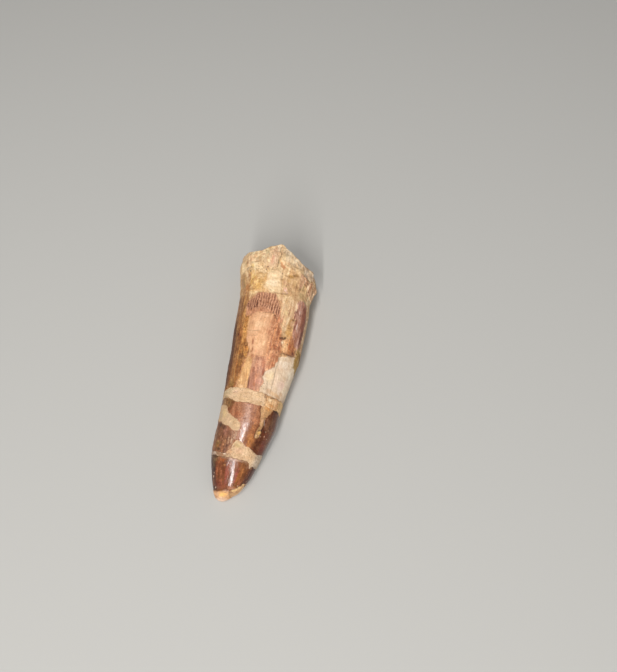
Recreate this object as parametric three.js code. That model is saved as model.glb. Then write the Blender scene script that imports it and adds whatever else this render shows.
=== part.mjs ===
// A fossil tooth of a meat-eating dinosaur, lying on its side.
//
// The crown came out of the ground broken. It was mended with two bands of sandy filler, so the
// tooth is a stack of five pieces along its length: the enamel tip, a wedge of filler, the middle
// of the crown, a second band of filler, and the crown's base with what is left of the root.
//
// Millimetres. +Y runs from the tip to the root, +X is to the right of someone who looks along +Y
// from above, and +Z is up. The tooth lies on the plane z = 0.
import * as THREE from "three";
import { mergeVertices } from "three/addons/utils/BufferGeometryUtils.js";

// Driving dimensions
const SECTION_EXPONENT = 2.2; // 2 is an ellipse, and more is squarer
const REST_FLAT_DEPTH = 0.25; // how far the round underside is flattened where the tooth lies
const NOSE_RADIUS = 1.6; // of the worn, rounded tip
const JOINT_GAP = 0.3; // between two neighbouring pieces
const CAVITY_DEPTH = 1.2; // of the filled root cavity, under the rim of the broken end
const CAVITY_REACH = 0.62; // of the cavity, as a share of the section's radius

// The tooth's shape: distance from the tip, left edge, right edge and height of the top
const OUTLINE = [
  [0, -2.5, 0.8, 2.8],
  [1, -2.6, 1.3, 3.1],
  [2, -2.9, 2.9, 4.3],
  [3, -3.3, 3.8, 5.4],
  [6, -4.1, 5.4, 7.4],
  [10, -5.0, 6.8, 9.2],
  [14, -5.2, 8.0, 10.3],
  [18, -5.1, 9.1, 11.1],
  [22, -5.2, 9.5, 11.6],
  [26, -5.4, 10.1, 12.2],
  [31, -5.8, 11.0, 13.2],
  [36, -6.0, 11.8, 14.0],
  [42, -6.6, 12.0, 14.6],
  [50, -7.1, 12.1, 15.1],
  [54, -7.6, 11.8, 15.4],
  [58, -8.5, 12.5, 15.8],
  [60, -9.0, 12.5, 15.9],
  [63, -9.2, 12.2, 15.8],
  [67, -9.0, 11.6, 15.4],
];

// Where one piece ends and the next begins, over the upper side of the tooth and under it. A row
// holds a place across the section, from -1 at its left side to 1 at its right side, and the
// distance from the tip there.
const TIP_TOP = {
  over: [
    [-1, 9.4],
    [-0.5, 9.0],
    [0.1, 8.8],
    [0.65, 8.7],
    [0.9, 8.1],
    [1, 8.1],
  ],
  under: [
    [-1, 9.4],
    [-0.4, 8.4],
    [0.3, 9.3],
    [1, 8.1],
  ],
};
const LOWER_FILLER_TOP = {
  over: [
    [-1, 10.2],
    [-0.32, 10.1],
    [0.1, 12.6],
    [0.25, 12.8],
    [0.6, 12.0],
    [0.85, 11.1],
    [1, 11.4],
  ],
  under: [
    [-1, 10.2],
    [-0.3, 11.2],
    [0.4, 12.4],
    [1, 11.4],
  ],
};
const MID_CROWN_TOP = {
  over: [
    [-1, 22.7],
    [-0.6, 22.4],
    [-0.3, 21.9],
    [0.5, 21.8],
    [1, 22.0],
  ],
  under: [
    [-1, 22.7],
    [-0.2, 21.2],
    [0.5, 22.6],
    [1, 22.0],
  ],
};
const UPPER_FILLER_TOP = {
  over: [
    [-1, 25.0],
    [-0.25, 25.3],
    [0.3, 24.7],
    [1, 24.5],
  ],
  under: [
    [-1, 25.0],
    [0, 23.9],
    [0.6, 25.3],
    [1, 24.5],
  ],
};
const ROOT_END = {
  over: [
    [-1, 63.6],
    [-0.82, 64.6],
    [-0.5, 64.2],
    [-0.2, 65.8],
    [0.1, 66.7],
    [0.22, 65.7],
    [0.42, 63.8],
    [0.6, 62.2],
    [0.85, 61.3],
    [1, 59.8],
  ],
  under: [
    [-1, 63.6],
    [-0.4, 64.6],
    [0.2, 64.2],
    [0.7, 62.4],
    [1, 59.8],
  ],
};

// Shares of the section's height between which a break turns from its under side to its over side
const UNDER_ENDS = 0.1;
const OVER_STARTS = 0.6;

// Facets round each piece, and the rings of its broken faces as shares of the section's radius
const STEPS_AROUND = 48;
const CAP_RINGS = [0, 0.35, 0.62, 0.84, 1];

// A smooth curve through rows of increasing place: a row's first number is the place, and its
// value stands in the given column.
function smoothThrough(rows, column = 1) {
  const places = rows.map((row) => row[0]);
  const values = rows.map((row) => row[column]);
  const last = places.length - 1;
  const slopes = places.map((place, i) => {
    const before = Math.max(i - 1, 0);
    const after = Math.min(i + 1, last);
    return (values[after] - values[before]) / (places[after] - places[before]);
  });
  return (place) => {
    const at = THREE.MathUtils.clamp(place, places[0], places[last]);
    let i = 0;
    while (i < last - 1 && at > places[i + 1]) i += 1;
    const span = places[i + 1] - places[i];
    const u = (at - places[i]) / span;
    const rise = u * u * (3 - 2 * u);
    const leave = u * (1 - u) * (1 - u) * span * slopes[i];
    const arrive = u * u * (1 - u) * span * slopes[i + 1];
    return values[i] + (values[i + 1] - values[i]) * rise + leave - arrive;
  };
}

const leftEdge = smoothThrough(OUTLINE, 1);
const rightEdge = smoothThrough(OUTLINE, 2);
const topHeight = smoothThrough(OUTLINE, 3);

// The point at a share of the section's radius, at an angle round the section from its right side,
// and at a distance from the tip. The sections shrink to a round nose at the tip, and what would
// fall below the plane is laid on it.
function pointOnTooth(share, angle, along) {
  const fromNose = 1 - Math.min(along, NOSE_RADIUS) / NOSE_RADIUS;
  const nose = Math.sqrt(1 - fromNose * fromNose);
  const halfWidth = (rightEdge(along) - leftEdge(along)) / 2;
  const halfHeight = (topHeight(along) + REST_FLAT_DEPTH) / 2;
  const cosine = Math.cos(angle);
  const sine = Math.sin(angle);
  const corner = Math.abs(cosine) ** SECTION_EXPONENT + Math.abs(sine) ** SECTION_EXPONENT;
  const radius = (share * nose) / corner ** (1 / SECTION_EXPONENT);
  return new THREE.Vector3(
    leftEdge(along) + halfWidth * (1 + radius * cosine),
    along,
    Math.max(halfHeight * (1 + radius * sine) - REST_FLAT_DEPTH, 0),
  );
}

// The distance from the tip at which a break crosses a place of the section
function breakSurface(stations) {
  const over = smoothThrough(stations.over);
  const under = smoothThrough(stations.under);
  return (share, angle) => {
    const across = share * Math.cos(angle);
    const height = (share * Math.sin(angle) + 1) / 2;
    const overShare = THREE.MathUtils.smoothstep(height, UNDER_ENDS, OVER_STARTS);
    return under(across) + (over(across) - under(across)) * overShare;
  };
}

// The broken end of the root, whose middle sinks into the filled cavity
const brokenRim = breakSurface(ROOT_END);
function rootEnd(share, angle) {
  const inCavity = 1 - THREE.MathUtils.smoothstep(share, CAVITY_REACH / 2, CAVITY_REACH);
  return brokenRim(share, angle) - CAVITY_DEPTH * inCavity;
}

// A break moved along the tooth
function shiftedBreak(stations, shift) {
  const surface = breakSurface(stations);
  return (share, angle) => surface(share, angle) + shift;
}

// Half the joint's gap comes off each of the two pieces that meet at a break.
const startsAt = (stations) => shiftedBreak(stations, JOINT_GAP / 2);
const endsAt = (stations) => shiftedBreak(stations, -JOINT_GAP / 2);

// A profile for the lathe, where x is the share of the section's radius and y the share of the
// piece's length: out over the lower break, along the side and back in over the upper break. A
// round nose has no lower break, and its rows crowd towards the tip.
function pieceProfile(rows, roundNose) {
  const capRings = roundNose ? [0] : CAP_RINGS;
  const profile = capRings.map((share) => new THREE.Vector2(share, 0));
  for (let row = 1; row < rows; row += 1) {
    const share = row / rows;
    profile.push(new THREE.Vector2(1, roundNose ? share * share : share));
  }
  const upperBreak = [...CAP_RINGS].reverse().map((share) => new THREE.Vector2(share, 1));
  return profile.concat(upperBreak);
}

// One piece of the tooth, between two breaks: a unit lathe body bent into the tooth's shape, with
// a number of rows of facets along its side
function toothPiece({ name, material, from, to, rows, roundNose = false }) {
  const lathe = new THREE.LatheGeometry(pieceProfile(rows, roundNose), STEPS_AROUND);
  lathe.deleteAttribute("normal");
  lathe.deleteAttribute("uv");
  const geometry = mergeVertices(lathe);
  const positions = geometry.getAttribute("position");
  for (let i = 0; i < positions.count; i += 1) {
    const x = positions.getX(i);
    const z = positions.getZ(i);
    const share = Math.hypot(x, z);
    const angle = Math.atan2(z, x);
    const start = from(share, angle);
    const along = start + (to(share, angle) - start) * positions.getY(i);
    positions.setXYZ(i, ...pointOnTooth(share, angle, along).toArray());
  }
  geometry.computeVertexNormals();
  const piece = new THREE.Mesh(geometry, material);
  piece.name = name;
  return piece;
}

// A finish that is not a metal
const finish = (color, roughness) =>
  new THREE.MeshStandardMaterial({ color, roughness, metalness: 0 });
const tipEnamel = finish(0x7a4327, 0.3); // glossy reddish brown
const crownEnamel = finish(0x855236, 0.38); // brown, chipped down to cream dentine
const sandyFiller = finish(0xd2ad84, 0.95); // sand in glue
const rootDentine = finish(0xcf9a6c, 0.7); // peach and tan, with cream at the root

const tooth = new THREE.Group();
tooth.add(
  toothPiece({
    name: "tip_fragment",
    material: tipEnamel,
    from: () => 0,
    to: endsAt(TIP_TOP),
    rows: 9,
    roundNose: true,
  }),
  toothPiece({
    name: "lower_filler",
    material: sandyFiller,
    from: startsAt(TIP_TOP),
    to: endsAt(LOWER_FILLER_TOP),
    rows: 2,
  }),
  toothPiece({
    name: "mid_crown_fragment",
    material: crownEnamel,
    from: startsAt(LOWER_FILLER_TOP),
    to: endsAt(MID_CROWN_TOP),
    rows: 7,
  }),
  toothPiece({
    name: "upper_filler",
    material: sandyFiller,
    from: startsAt(MID_CROWN_TOP),
    to: endsAt(UPPER_FILLER_TOP),
    rows: 2,
  }),
  toothPiece({
    name: "crown_base_and_root",
    material: rootDentine,
    from: startsAt(UPPER_FILLER_TOP),
    to: rootEnd,
    rows: 25,
  }),
);

// The part's origin is the middle of its footprint, on the plane that it lies on.
const middle = new THREE.Box3().setFromObject(tooth, true).getCenter(new THREE.Vector3());
tooth.position.set(-middle.x, -middle.y, 0);

export default tooth;
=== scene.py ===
"""A fossil dinosaur tooth that lies on its side: the looks of its five pieces.

Each piece is one closed surface, a stack of rings between two poles, whose shape repeats the
CAD piece's and carries a fine relief. What the surface is made of comes from a map of the tooth
in two coordinates: degrees round the tooth from its top, and millimetres from its tip.
"""
import math
from itertools import product
from types import SimpleNamespace

import bpy
import numpy as np
from mathutils import Matrix, Vector


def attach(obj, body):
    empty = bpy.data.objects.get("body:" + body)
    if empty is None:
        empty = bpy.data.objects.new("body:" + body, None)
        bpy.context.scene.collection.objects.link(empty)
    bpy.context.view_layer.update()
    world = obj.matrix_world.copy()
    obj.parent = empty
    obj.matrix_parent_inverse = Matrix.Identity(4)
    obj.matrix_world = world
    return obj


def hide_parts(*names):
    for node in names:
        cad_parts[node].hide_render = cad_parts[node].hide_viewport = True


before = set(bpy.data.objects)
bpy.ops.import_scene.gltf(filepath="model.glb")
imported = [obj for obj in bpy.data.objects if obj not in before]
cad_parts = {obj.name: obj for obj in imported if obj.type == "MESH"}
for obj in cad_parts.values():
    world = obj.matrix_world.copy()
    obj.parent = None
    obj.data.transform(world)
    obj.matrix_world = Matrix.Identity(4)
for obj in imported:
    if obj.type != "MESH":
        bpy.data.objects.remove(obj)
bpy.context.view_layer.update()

MM = 0.001
TINY = 1e-12  # keeps a division by nothing away
CENTRE = np.array([1.6709, 33.3491, 0.0])  # of the tooth's footprint, in millimetres from its tip

# ------------------------ the shape

SECTION_EXPONENT = 2.2
REST_FLAT_DEPTH = 0.25
NOSE_RADIUS = 1.6
SEAM = 0.02  # between two pieces
CAVITY_DEPTH = 1.2
CAVITY_REACH = 0.62
UNDER_ENDS = 0.1
OVER_STARTS = 0.6
RIM_RADIUS = 0.4  # of the worn edge of the broken root

# Distance from the tip, left edge, right edge and height of the top
OUTLINE = [
    (0, -2.5, 0.8, 2.8), (1, -2.6, 1.3, 3.1), (2, -2.9, 2.9, 4.3), (3, -3.3, 3.8, 5.4),
    (6, -4.1, 5.4, 7.4), (10, -5, 6.8, 9.2), (14, -5.2, 8, 10.3), (18, -5.1, 9.1, 11.1),
    (22, -5.2, 9.5, 11.6), (26, -5.4, 10.1, 12.2), (31, -5.8, 11, 13.2),
    (36, -6, 11.8, 14), (42, -6.6, 12, 14.6), (50, -7.1, 12.1, 15.1),
    (54, -7.6, 11.8, 15.4), (58, -8.5, 12.5, 15.8), (60, -9, 12.5, 15.9),
    (63, -9.2, 12.2, 15.8), (67, -9, 11.6, 15.4),
]

# Where a piece ends, over the tooth and under it: the place across the section, from -1 at the
# left to 1 at the right, and the distance from the tip
TIP_TOP = (
    [(-1, 9.4), (-0.7, 9.15), (-0.5, 9), (-0.34, 8.9), (0, 9), (0.17, 8.8), (0.6, 8.75),
     (0.69, 8.55), (0.74, 8), (0.79, 7.6), (0.84, 8), (0.94, 8.05), (1, 8.1)],
    [(-1, 9.4), (-0.4, 8.4), (0.3, 9.3), (1, 8.1)],
)
LOWER_FILLER_TOP = (
    [(-1, 10.2), (-0.8, 10), (-0.6, 9.85), (-0.42, 9.65), (-0.32, 9.75), (-0.2, 10.4),
     (-0.13, 10.95), (-0.1, 11.8), (-0.06, 12.5), (0, 12.95), (0.1, 12.9), (0.24, 12.6),
     (0.34, 12), (0.5, 11.9), (0.62, 11.5), (0.76, 11), (0.88, 10.9), (1, 11.4)],
    [(-1, 10.2), (-0.3, 11.2), (0.4, 12.4), (1, 11.4)],
)
MID_CROWN_TOP = (
    [(-1, 22.8), (-0.8, 22.95), (-0.66, 22.8), (-0.55, 22.45), (-0.42, 21.95), (0, 21.85),
     (0.45, 21.8), (0.6, 22.1), (0.8, 21.75), (0.9, 22), (1, 21.6)],
    [(-1, 22.8), (-0.2, 21.2), (0.5, 22.6), (1, 21.6)],
)
UPPER_FILLER_TOP = (
    [(-1, 25), (-0.75, 25.35), (-0.5, 25.5), (-0.34, 25.4), (-0.14, 25.3), (0, 25.1),
     (0.17, 25), (0.4, 24.9), (0.7, 24.6), (1, 24.5)],
    [(-1, 25), (0, 23.9), (0.6, 25.3), (1, 24.5)],
)
ROOT_END = (
    [(-1, 63.6), (-0.82, 64.6), (-0.5, 64.2), (-0.2, 65.8), (0.1, 66.7), (0.22, 65.7),
     (0.42, 63.8), (0.6, 62.2), (0.85, 61.3), (1, 59.8)],
    [(-1, 63.6), (-0.4, 64.6), (0.2, 64.2), (0.7, 62.4), (1, 59.8)],
)


def through(rows, column=1):
    """A smooth curve through rows of increasing place: between two rows a cubic that leaves and
    arrives with the slope from the row before to the row after, one-sided at the ends."""
    table = np.array(rows, float)
    places, values = table[:, 0], table[:, column]
    before = np.maximum(np.arange(len(places)) - 1, 0)
    after = np.minimum(np.arange(len(places)) + 1, len(places) - 1)
    slopes = (values[after] - values[before]) / (places[after] - places[before])

    def curve(place):
        at = np.clip(place, places[0], places[-1])
        i = np.clip(np.searchsorted(places, at) - 1, 0, len(places) - 2)
        span = places[i + 1] - places[i]
        u = (at - places[i]) / span
        rise = (values[i + 1] - values[i]) * u * u * (3 - 2 * u)
        return values[i] + rise + u * (1 - u) * span * ((1 - u) * slopes[i] - u * slopes[i + 1])

    return curve


left_edge, right_edge, top_height = (through(OUTLINE, column) for column in (1, 2, 3))


def ramp(value, low, high):
    """0 below low, 1 above high and a smooth rise between them, or a fall where high is less."""
    u = np.clip((value - low) / (high - low), 0, 1)
    return u * u * (3 - 2 * u)


def blend(a, b, share):
    """From a, where share is 0, to b, where it is 1"""
    return a + (b - a) * share


def dyed(tint, colour, share):
    """A colour blended into another by a share for each place, held between 0 and 1"""
    return blend(tint, colour, np.clip(share, 0, 1)[..., None])


def tooth_point(share, angle, along):
    """The point at a share of the section's radius, at an angle from its right side and at a
    distance from the tip. The section is a superellipse between the left edge, the right edge
    and the top height, it shrinks to a round nose at the tip, and the plane z = 0 cuts it."""
    from_nose = 1 - np.minimum(along, NOSE_RADIUS) / NOSE_RADIUS
    nose = np.sqrt(np.clip(1 - from_nose**2, 0, 1))
    half_width = (right_edge(along) - left_edge(along)) / 2
    half_height = (top_height(along) + REST_FLAT_DEPTH) / 2
    cosine, sine = np.cos(angle), np.sin(angle)
    corner = np.abs(cosine) ** SECTION_EXPONENT + np.abs(sine) ** SECTION_EXPONENT
    radius = share * nose / corner ** (1 / SECTION_EXPONENT)
    x = left_edge(along) + half_width * (1 + radius * cosine)
    z = np.maximum(half_height * (1 + radius * sine) - REST_FLAT_DEPTH, 0)
    return np.stack([x, np.broadcast_to(along, x.shape), z], -1)


# ------------------------ noise

# Large odd numbers that spread small whole ones over 32 bits
AXIS_FACTORS = (73856093, 19349663, 83492791)
SEED_FACTOR = 2654435761
STIRRING = ((15, 2246822519), (13, 3266489917), (16, 668265263))  # bits to shift by, and a factor


def scatter(cells, seed):
    """A random number from 0 to 1 for each whole-number place: the coordinates and the seed times
    large odd numbers, joined bit by bit and stirred. The upper 24 of 32 bits are used."""
    whole = cells.astype(np.int64).astype(np.uint32)
    bits = np.uint32(seed * SEED_FACTOR % 2**32)
    for axis, factor in enumerate(AXIS_FACTORS):
        bits = bits ^ whole[..., axis] * np.uint32(factor)
    for shift, factor in STIRRING:
        bits = (bits ^ (bits >> np.uint32(shift))) * np.uint32(factor)
    return (bits >> np.uint32(8)) / float(2**24)


def bumps(place, seed):
    """Random hills from -1 to 1, one unit apart: the random numbers at the eight corners of a
    unit cube, blended smoothly."""
    cell = np.floor(place)
    part = place - cell
    part = part**3 * (part * (part * 6 - 15) + 10)
    total = 0.0
    for corner in product((0, 1), repeat=3):
        side = np.array(corner)
        total = total + np.where(side, part, 1 - part).prod(-1) * scatter(cell + side, seed)
    return 2 * total - 1


# Each layer of hills against the one before: how it is turned, how much finer and lower it is
LAYER_TURN = np.array([[0.36, 0.48, -0.8], [-0.8, 0.6, 0.0], [0.48, 0.64, 0.6]])
LAYER_FINER, LAYER_LOWER = 2.03, 0.55
HILL_HEIGHT = 1.35  # with it the sum of the layers lies mostly between -1 and 1


def hills(place, size, seed, layers):
    """Layers of bumps: each layer is turned, half as wide as the last and a bit over half as
    high. The size is the width of the widest."""
    at, total, height = place / size, 0.0, 1.0
    for layer in range(layers):
        total = total + height * bumps(at, seed + layer)
        at, height = LAYER_FINER * at @ LAYER_TURN, height * LAYER_LOWER
    return total * HILL_HEIGHT / sum(LAYER_LOWER**layer for layer in range(layers))


def crumbs(place, size, seed):
    """For grains about one size apart, one at a random spot in each cube of that size: the
    distance to the nearest, in sizes, and a random number that goes with it."""
    at = place / size
    cell = np.floor(at)
    nearest = np.full(at.shape[:-1], np.inf)
    mark = np.zeros(at.shape[:-1])
    for corner in product((-1, 0, 1), repeat=3):
        here = cell + np.array(corner)
        spot = np.stack([scatter(here, seed + k) for k in range(3)], -1)
        far = np.linalg.norm(here + spot - at, axis=-1)
        closer = far < nearest
        nearest = np.where(closer, far, nearest)
        mark = np.where(closer, spot[..., 0], mark)
    return nearest, mark


# ------------------------ the map of the tooth

# How far the fibres turn to the left on their way from the tip: millimetres and degrees
fibre_turn = through([(0, 0), (10, 7), (22, 15), (30, 22.5), (36, 26), (40, 25.5), (46, 22.5),
                      (53, 21.5), (67, 21.5)])
FIBRE_RADIUS = 8  # of the round bar that the fibres' noise is laid out on, in millimetres

# Noise that the finishes share: the width of its hills in millimetres, its seed and its layers
COARSE, MIDDLE, FINE = (3.2, 11, 3), (1.1, 23, 3), (0.36, 37, 2)
STREAK, FINE_STREAK = (0.7, 41, 3), (0.26, 53, 2)
# Streaks are drawn out along the fibres: what the place across, along and up is multiplied by
STREAK_DRAWN, FINE_STREAK_DRAWN = (1, 0.09, 1), (1, 0.07, 1)


def radius_at(along):
    """Mean radius of the section, which turns degrees on the map into millimetres"""
    width = right_edge(along) - left_edge(along)
    return (width + top_height(along)) / 4


def stir(spot):
    """Noise of three sizes at each place in space"""
    spot.coarse = hills(spot.place, *COARSE)
    spot.middle = hills(spot.place, *MIDDLE)
    spot.fine = hills(spot.place, *FINE)


def survey(angle, along):
    """All that the map needs to know about each place: degrees from the top, to the right;
    millimetres from the tip and round the tooth; the place in space; the place among the
    fibres; and noise of several sizes."""
    spot = SimpleNamespace()
    spot.turn = (90 - np.degrees(angle) + 180) % 360 - 180
    spot.along = along
    spot.round = spot.turn * np.radians(radius_at(along))
    spot.place = tooth_point(1.0, angle, along)
    followed = np.radians(spot.turn + fibre_turn(along))
    aside, upward = FIBRE_RADIUS * np.sin(followed), FIBRE_RADIUS * np.cos(followed)
    spot.fibre = np.stack([aside, along, upward], -1)
    stir(spot)
    spot.streak = hills(spot.fibre * STREAK_DRAWN, *STREAK)
    spot.fine_streak = hills(spot.fibre * FINE_STREAK_DRAWN, *FINE_STREAK)
    return spot


def map_place(points):
    """Points of the map, given in degrees and millimetres, as millimetres round and along"""
    points = np.array(points, float)
    around = points[:, 0] * np.radians(radius_at(points[:, 1]))
    return np.stack([around, points[:, 1]], -1)


def line_distance(spot, points, closed=False):
    """Distance in millimetres on the map to the nearest edge of a line through the points"""
    corners = map_place(points)
    ends = np.roll(corners, -1, 0) if closed else corners[1:]
    nearest = np.full(spot.along.shape, np.inf)
    for (ax, ay), (bx, by) in zip(corners, ends):
        dx, dy = bx - ax, by - ay
        px, py = spot.round - ax, spot.along - ay
        u = np.clip((px * dx + py * dy) / max(dx * dx + dy * dy, TINY), 0, 1)
        nearest = np.minimum(nearest, np.hypot(px - u * dx, py - u * dy))
    return nearest


def inward(spot, points):
    """Distance to a closed outline, positive inside it: a place is inside where a ray from it
    crosses the outline an odd number of times."""
    corners = map_place(points)
    inside = np.zeros(spot.along.shape, bool)
    for (ax, ay), (bx, by) in zip(corners, np.roll(corners, -1, 0)):
        crosses = (ay > spot.along) != (by > spot.along)
        at = ax + (spot.along - ay) * (bx - ax) / (by - ay if by != ay else TINY)
        inside ^= crosses & (spot.round < at)
    return np.where(inside, 1, -1) * line_distance(spot, points, closed=True)


def rgb(red, green, blue):
    """A colour given in the 0 to 255 of a screen, as light"""
    c = np.array([red, green, blue]) / 255
    return np.where(c < 0.04045, c / 12.92, ((c + 0.055) / 1.055) ** 2.4)


FINISH = ("shine", "fibre", "grain", "worn")
LAYERS = ("height", *FINISH)


def patch(points, colour, second, *, height=None, shine=None, fibre=None, grain=None, worn=None,
          soft=0.25, ragged=0.25, feather=0.0, veil=1.0):
    """One area of the map: its outline, two colours that its mottling runs between, the height of
    its surface in millimetres, how glossy, fibrous, grainy and weathered it is, the width of its
    soft edge, how far noise and fibres move that edge, and how much of what is under it the patch
    hides. What is None stays as it was. The base of a piece has no outline and lies everywhere."""
    return SimpleNamespace(points=points, colour=rgb(*colour), second=rgb(*second), soft=soft,
                           height=height, shine=shine, fibre=fibre, grain=grain, worn=worn,
                           ragged=ragged, feather=feather, veil=veil)


def mottled(area, spot, fibre):
    """A patch's two colours, mixed by clouds and by fibres"""
    clouds = 0.45 * spot.coarse + 0.4 * spot.middle
    mix = 0.5 + clouds * (1 - 0.5 * fibre) + 0.6 * spot.streak * fibre
    return dyed(area.colour, area.second, mix)


def rings_near(spot, low, high):
    """The range of rings that come between two distances from the tip, if any do"""
    rows = np.flatnonzero(((spot.along > low) & (spot.along < high)).any(1))
    return slice(rows[0], rows[-1] + 1) if len(rows) else None


PATCH_MARGIN = 1.5  # millimetres, more than a patch's edge is moved by


def lay(skin, spot, areas):
    """Lays patches on the skin, one over another. The share of each runs from 0 to 1 over its soft
    edge, which noise and fibres move in and out."""
    for area in areas:
        low, high = np.min(area.points, 0)[1], np.max(area.points, 0)[1]
        part = rings_near(spot, low - PATCH_MARGIN, high + PATCH_MARGIN)
        if part is None:
            continue
        here = SimpleNamespace(**{name: value[part] for name, value in vars(spot).items()})
        wander = area.ragged * (0.65 * here.middle + 0.35 * here.fine)
        reach = inward(here, area.points) + wander + area.feather * here.streak
        share = area.veil * ramp(reach, -area.soft, area.soft)
        fibre = skin.fibre[part] if area.fibre is None else area.fibre
        colour = mottled(area, here, np.clip(fibre, 0, 1))
        skin.tint[part] = dyed(skin.tint[part], colour, share)
        for name in LAYERS:
            wanted = getattr(area, name)
            if wanted is not None:
                layer = getattr(skin, name)
                layer[part] = blend(layer[part], wanted, share)


def crack(skin, spot, points, width, depth, dark, ragged):
    """A groove along a line of the map, which noise bends, darker at the bottom. A negative depth
    makes a ridge, and a negative darkness a pale line."""
    bent = SimpleNamespace(round=spot.round + ragged * 1.2 * spot.middle,
                           along=spot.along + ragged * spot.coarse)
    far = line_distance(bent, points)
    groove = 1 - ramp(far, 0.25 * width, width)
    skin.height -= depth * groove
    groove = groove * np.clip(0.85 + 0.5 * spot.middle, 0.2, 1)
    skin.tint *= (1 - dark * groove)[..., None]


SPECK_DEPTH = 0.03


def speck(skin, spot, turn, along, size, colour, amount=0.85):
    """A small dark or pale pit with a ragged edge"""
    (x, y), = map_place([(turn, along)])
    far = np.hypot(spot.round - x, spot.along - y) + 0.35 * size * spot.fine
    share = amount * (1 - ramp(far, 0.5 * size, size))
    skin.tint = dyed(skin.tint, rgb(*colour), share)
    skin.height -= SPECK_DEPTH * share


def skin_of(spot, base):
    """A skin of one finish all over, before its patches are laid"""
    skin = SimpleNamespace(tint=mottled(base, spot, base.fibre))
    for name in LAYERS:
        setattr(skin, name, np.full(spot.along.shape, float(getattr(base, name))))
    return skin


# What a dark mark takes of red, green and blue: all are browner than they are dark
STREAK_DARK = np.array([0.2, 0.29, 0.37])
PIT_DARK, CREASE_DARK = (0.8, 0.95, 1.05), (0.75, 0.95, 1.1)


def weather(skin, spot, clouding, pitting):
    """What time does to the colours: dark and light streaks and thin dark lines along the fibres,
    clouds, pale flecks and dark pits. All but the streaks are stronger where the skin is worn."""
    streaks = np.clip(0.8 * spot.streak + spot.fine_streak, -1.4, 1.7) * skin.fibre
    pitting = pitting * skin.worn
    clouding = clouding * (0.25 + 0.75 * skin.worn)
    clouds = clouding * (0.6 * spot.middle + 0.95 * spot.fine) * (1.2 - 0.35 * skin.shine)
    thin = 1 - ramp(np.abs(spot.streak + 0.2 * spot.fine), 0.02, 0.11)
    thin = skin.worn * skin.fibre * thin * ramp(spot.middle, -0.5, 0.5)
    skin.tint *= np.clip(1 - streaks[..., None] * STREAK_DARK, 0.2, 1.6)
    skin.tint *= np.clip(1 - clouds[..., None] * STREAK_DARK * 0.8, 0.3, 1.5)
    skin.tint *= 1 - thin[..., None] * STREAK_DARK
    pits = pitting * ramp(spot.fine - 0.3 * spot.coarse, 0.5, 0.9) * (1 - 0.5 * skin.shine)
    flecks = pitting * ramp(-spot.fine + 0.25 * spot.coarse, 0.55, 0.95)
    skin.tint *= 1 - 0.5 * pits[..., None] * PIT_DARK + 0.28 * flecks[..., None]
    skin.height -= 0.05 * pits + 0.02 * thin


def creases(skin, spot, where, size, seed, dark, depth):
    """Wandering creases: the lines along which a field of hills crosses zero, broken up by
    coarser noise"""
    field = np.abs(hills(spot.place, size, seed, 3))
    line = where * (1 - ramp(field, 0.01, 0.09)) * ramp(spot.middle + 0.5 * spot.coarse, -0.4, 0.5)
    skin.tint *= 1 - dark * line[..., None] * CREASE_DARK
    skin.height -= depth * line


def swell(skin, spot, turn, along, wide, long, height):
    """A bump or a hollow on the surface, which falls off smoothly from its middle"""
    (x, y), = map_place([(turn, along)])
    reach = np.hypot((spot.round - x) / wide, (spot.along - y) / long) + 0.2 * spot.middle
    skin.height += height * (1 - ramp(reach, 0.1, 1.0))


def enamel_relief(skin, spot):
    """Enamel is fluted along the fibres and crossed by faint growth lines."""
    growth = hills(spot.fibre * (0.25, 1, 0.25), size=0.8, seed=71, layers=2)
    flutes = 0.004 * spot.streak + 0.002 * spot.fine_streak + 0.004 * growth
    skin.shine *= 1 - 0.3 * ramp(spot.fine_streak + 0.6 * spot.fine, 0.25, 0.75)
    skin.height += skin.shine * flutes + (1 - skin.shine) * skin.fibre * 0.03 * spot.streak


def rough_relief(skin, spot):
    """What is not glossy is rough: its grains stand out, and it is uneven."""
    near, _ = crumbs(spot.place, size=0.42, seed=91)
    rough = 0.06 * spot.middle + 0.035 * spot.fine
    skin.height += (1 - skin.shine) * rough + skin.grain * 0.07 * (0.5 - near)


def dab(skin, spot, turn, along, wide, long, colour, amount=0.6, height=0.0):
    """A soft mark that follows the fibres: it fades out over half its width across them and half
    its length along them, and noise frays it."""
    margin = 1.6 * long + 0.3
    part = rings_near(spot, along - margin, along + margin)
    if part is None:
        return
    after = spot.along[part] - along
    turned = spot.turn[part] - turn + fibre_turn(spot.along[part]) - fibre_turn(along)
    across = np.radians(turned) * radius_at(along)
    reach = np.hypot(across / wide, after / long)
    reach = reach + 0.3 * spot.middle[part] + 0.25 * spot.fine[part]
    share = amount * (1 - ramp(reach, 0.35, 1.1))
    skin.tint[part] = dyed(skin.tint[part], rgb(*colour), share)
    skin.height[part] += height * share


def each(kind, skin, spot, rows, *rest):
    """Makes a mark of one kind for each row of a table"""
    for row in rows:
        kind(skin, spot, *row, *rest)


# ------------------------ the skins

# In the tables that follow, an outline's points are degrees and millimetres. A dab's row is its
# place, its half width and half length in millimetres, its colour, its amount and, where it has
# one, its height. A crack's row is its line, width, depth, darkness and how far noise bends it. A
# speck's row is its place and its size.

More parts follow.
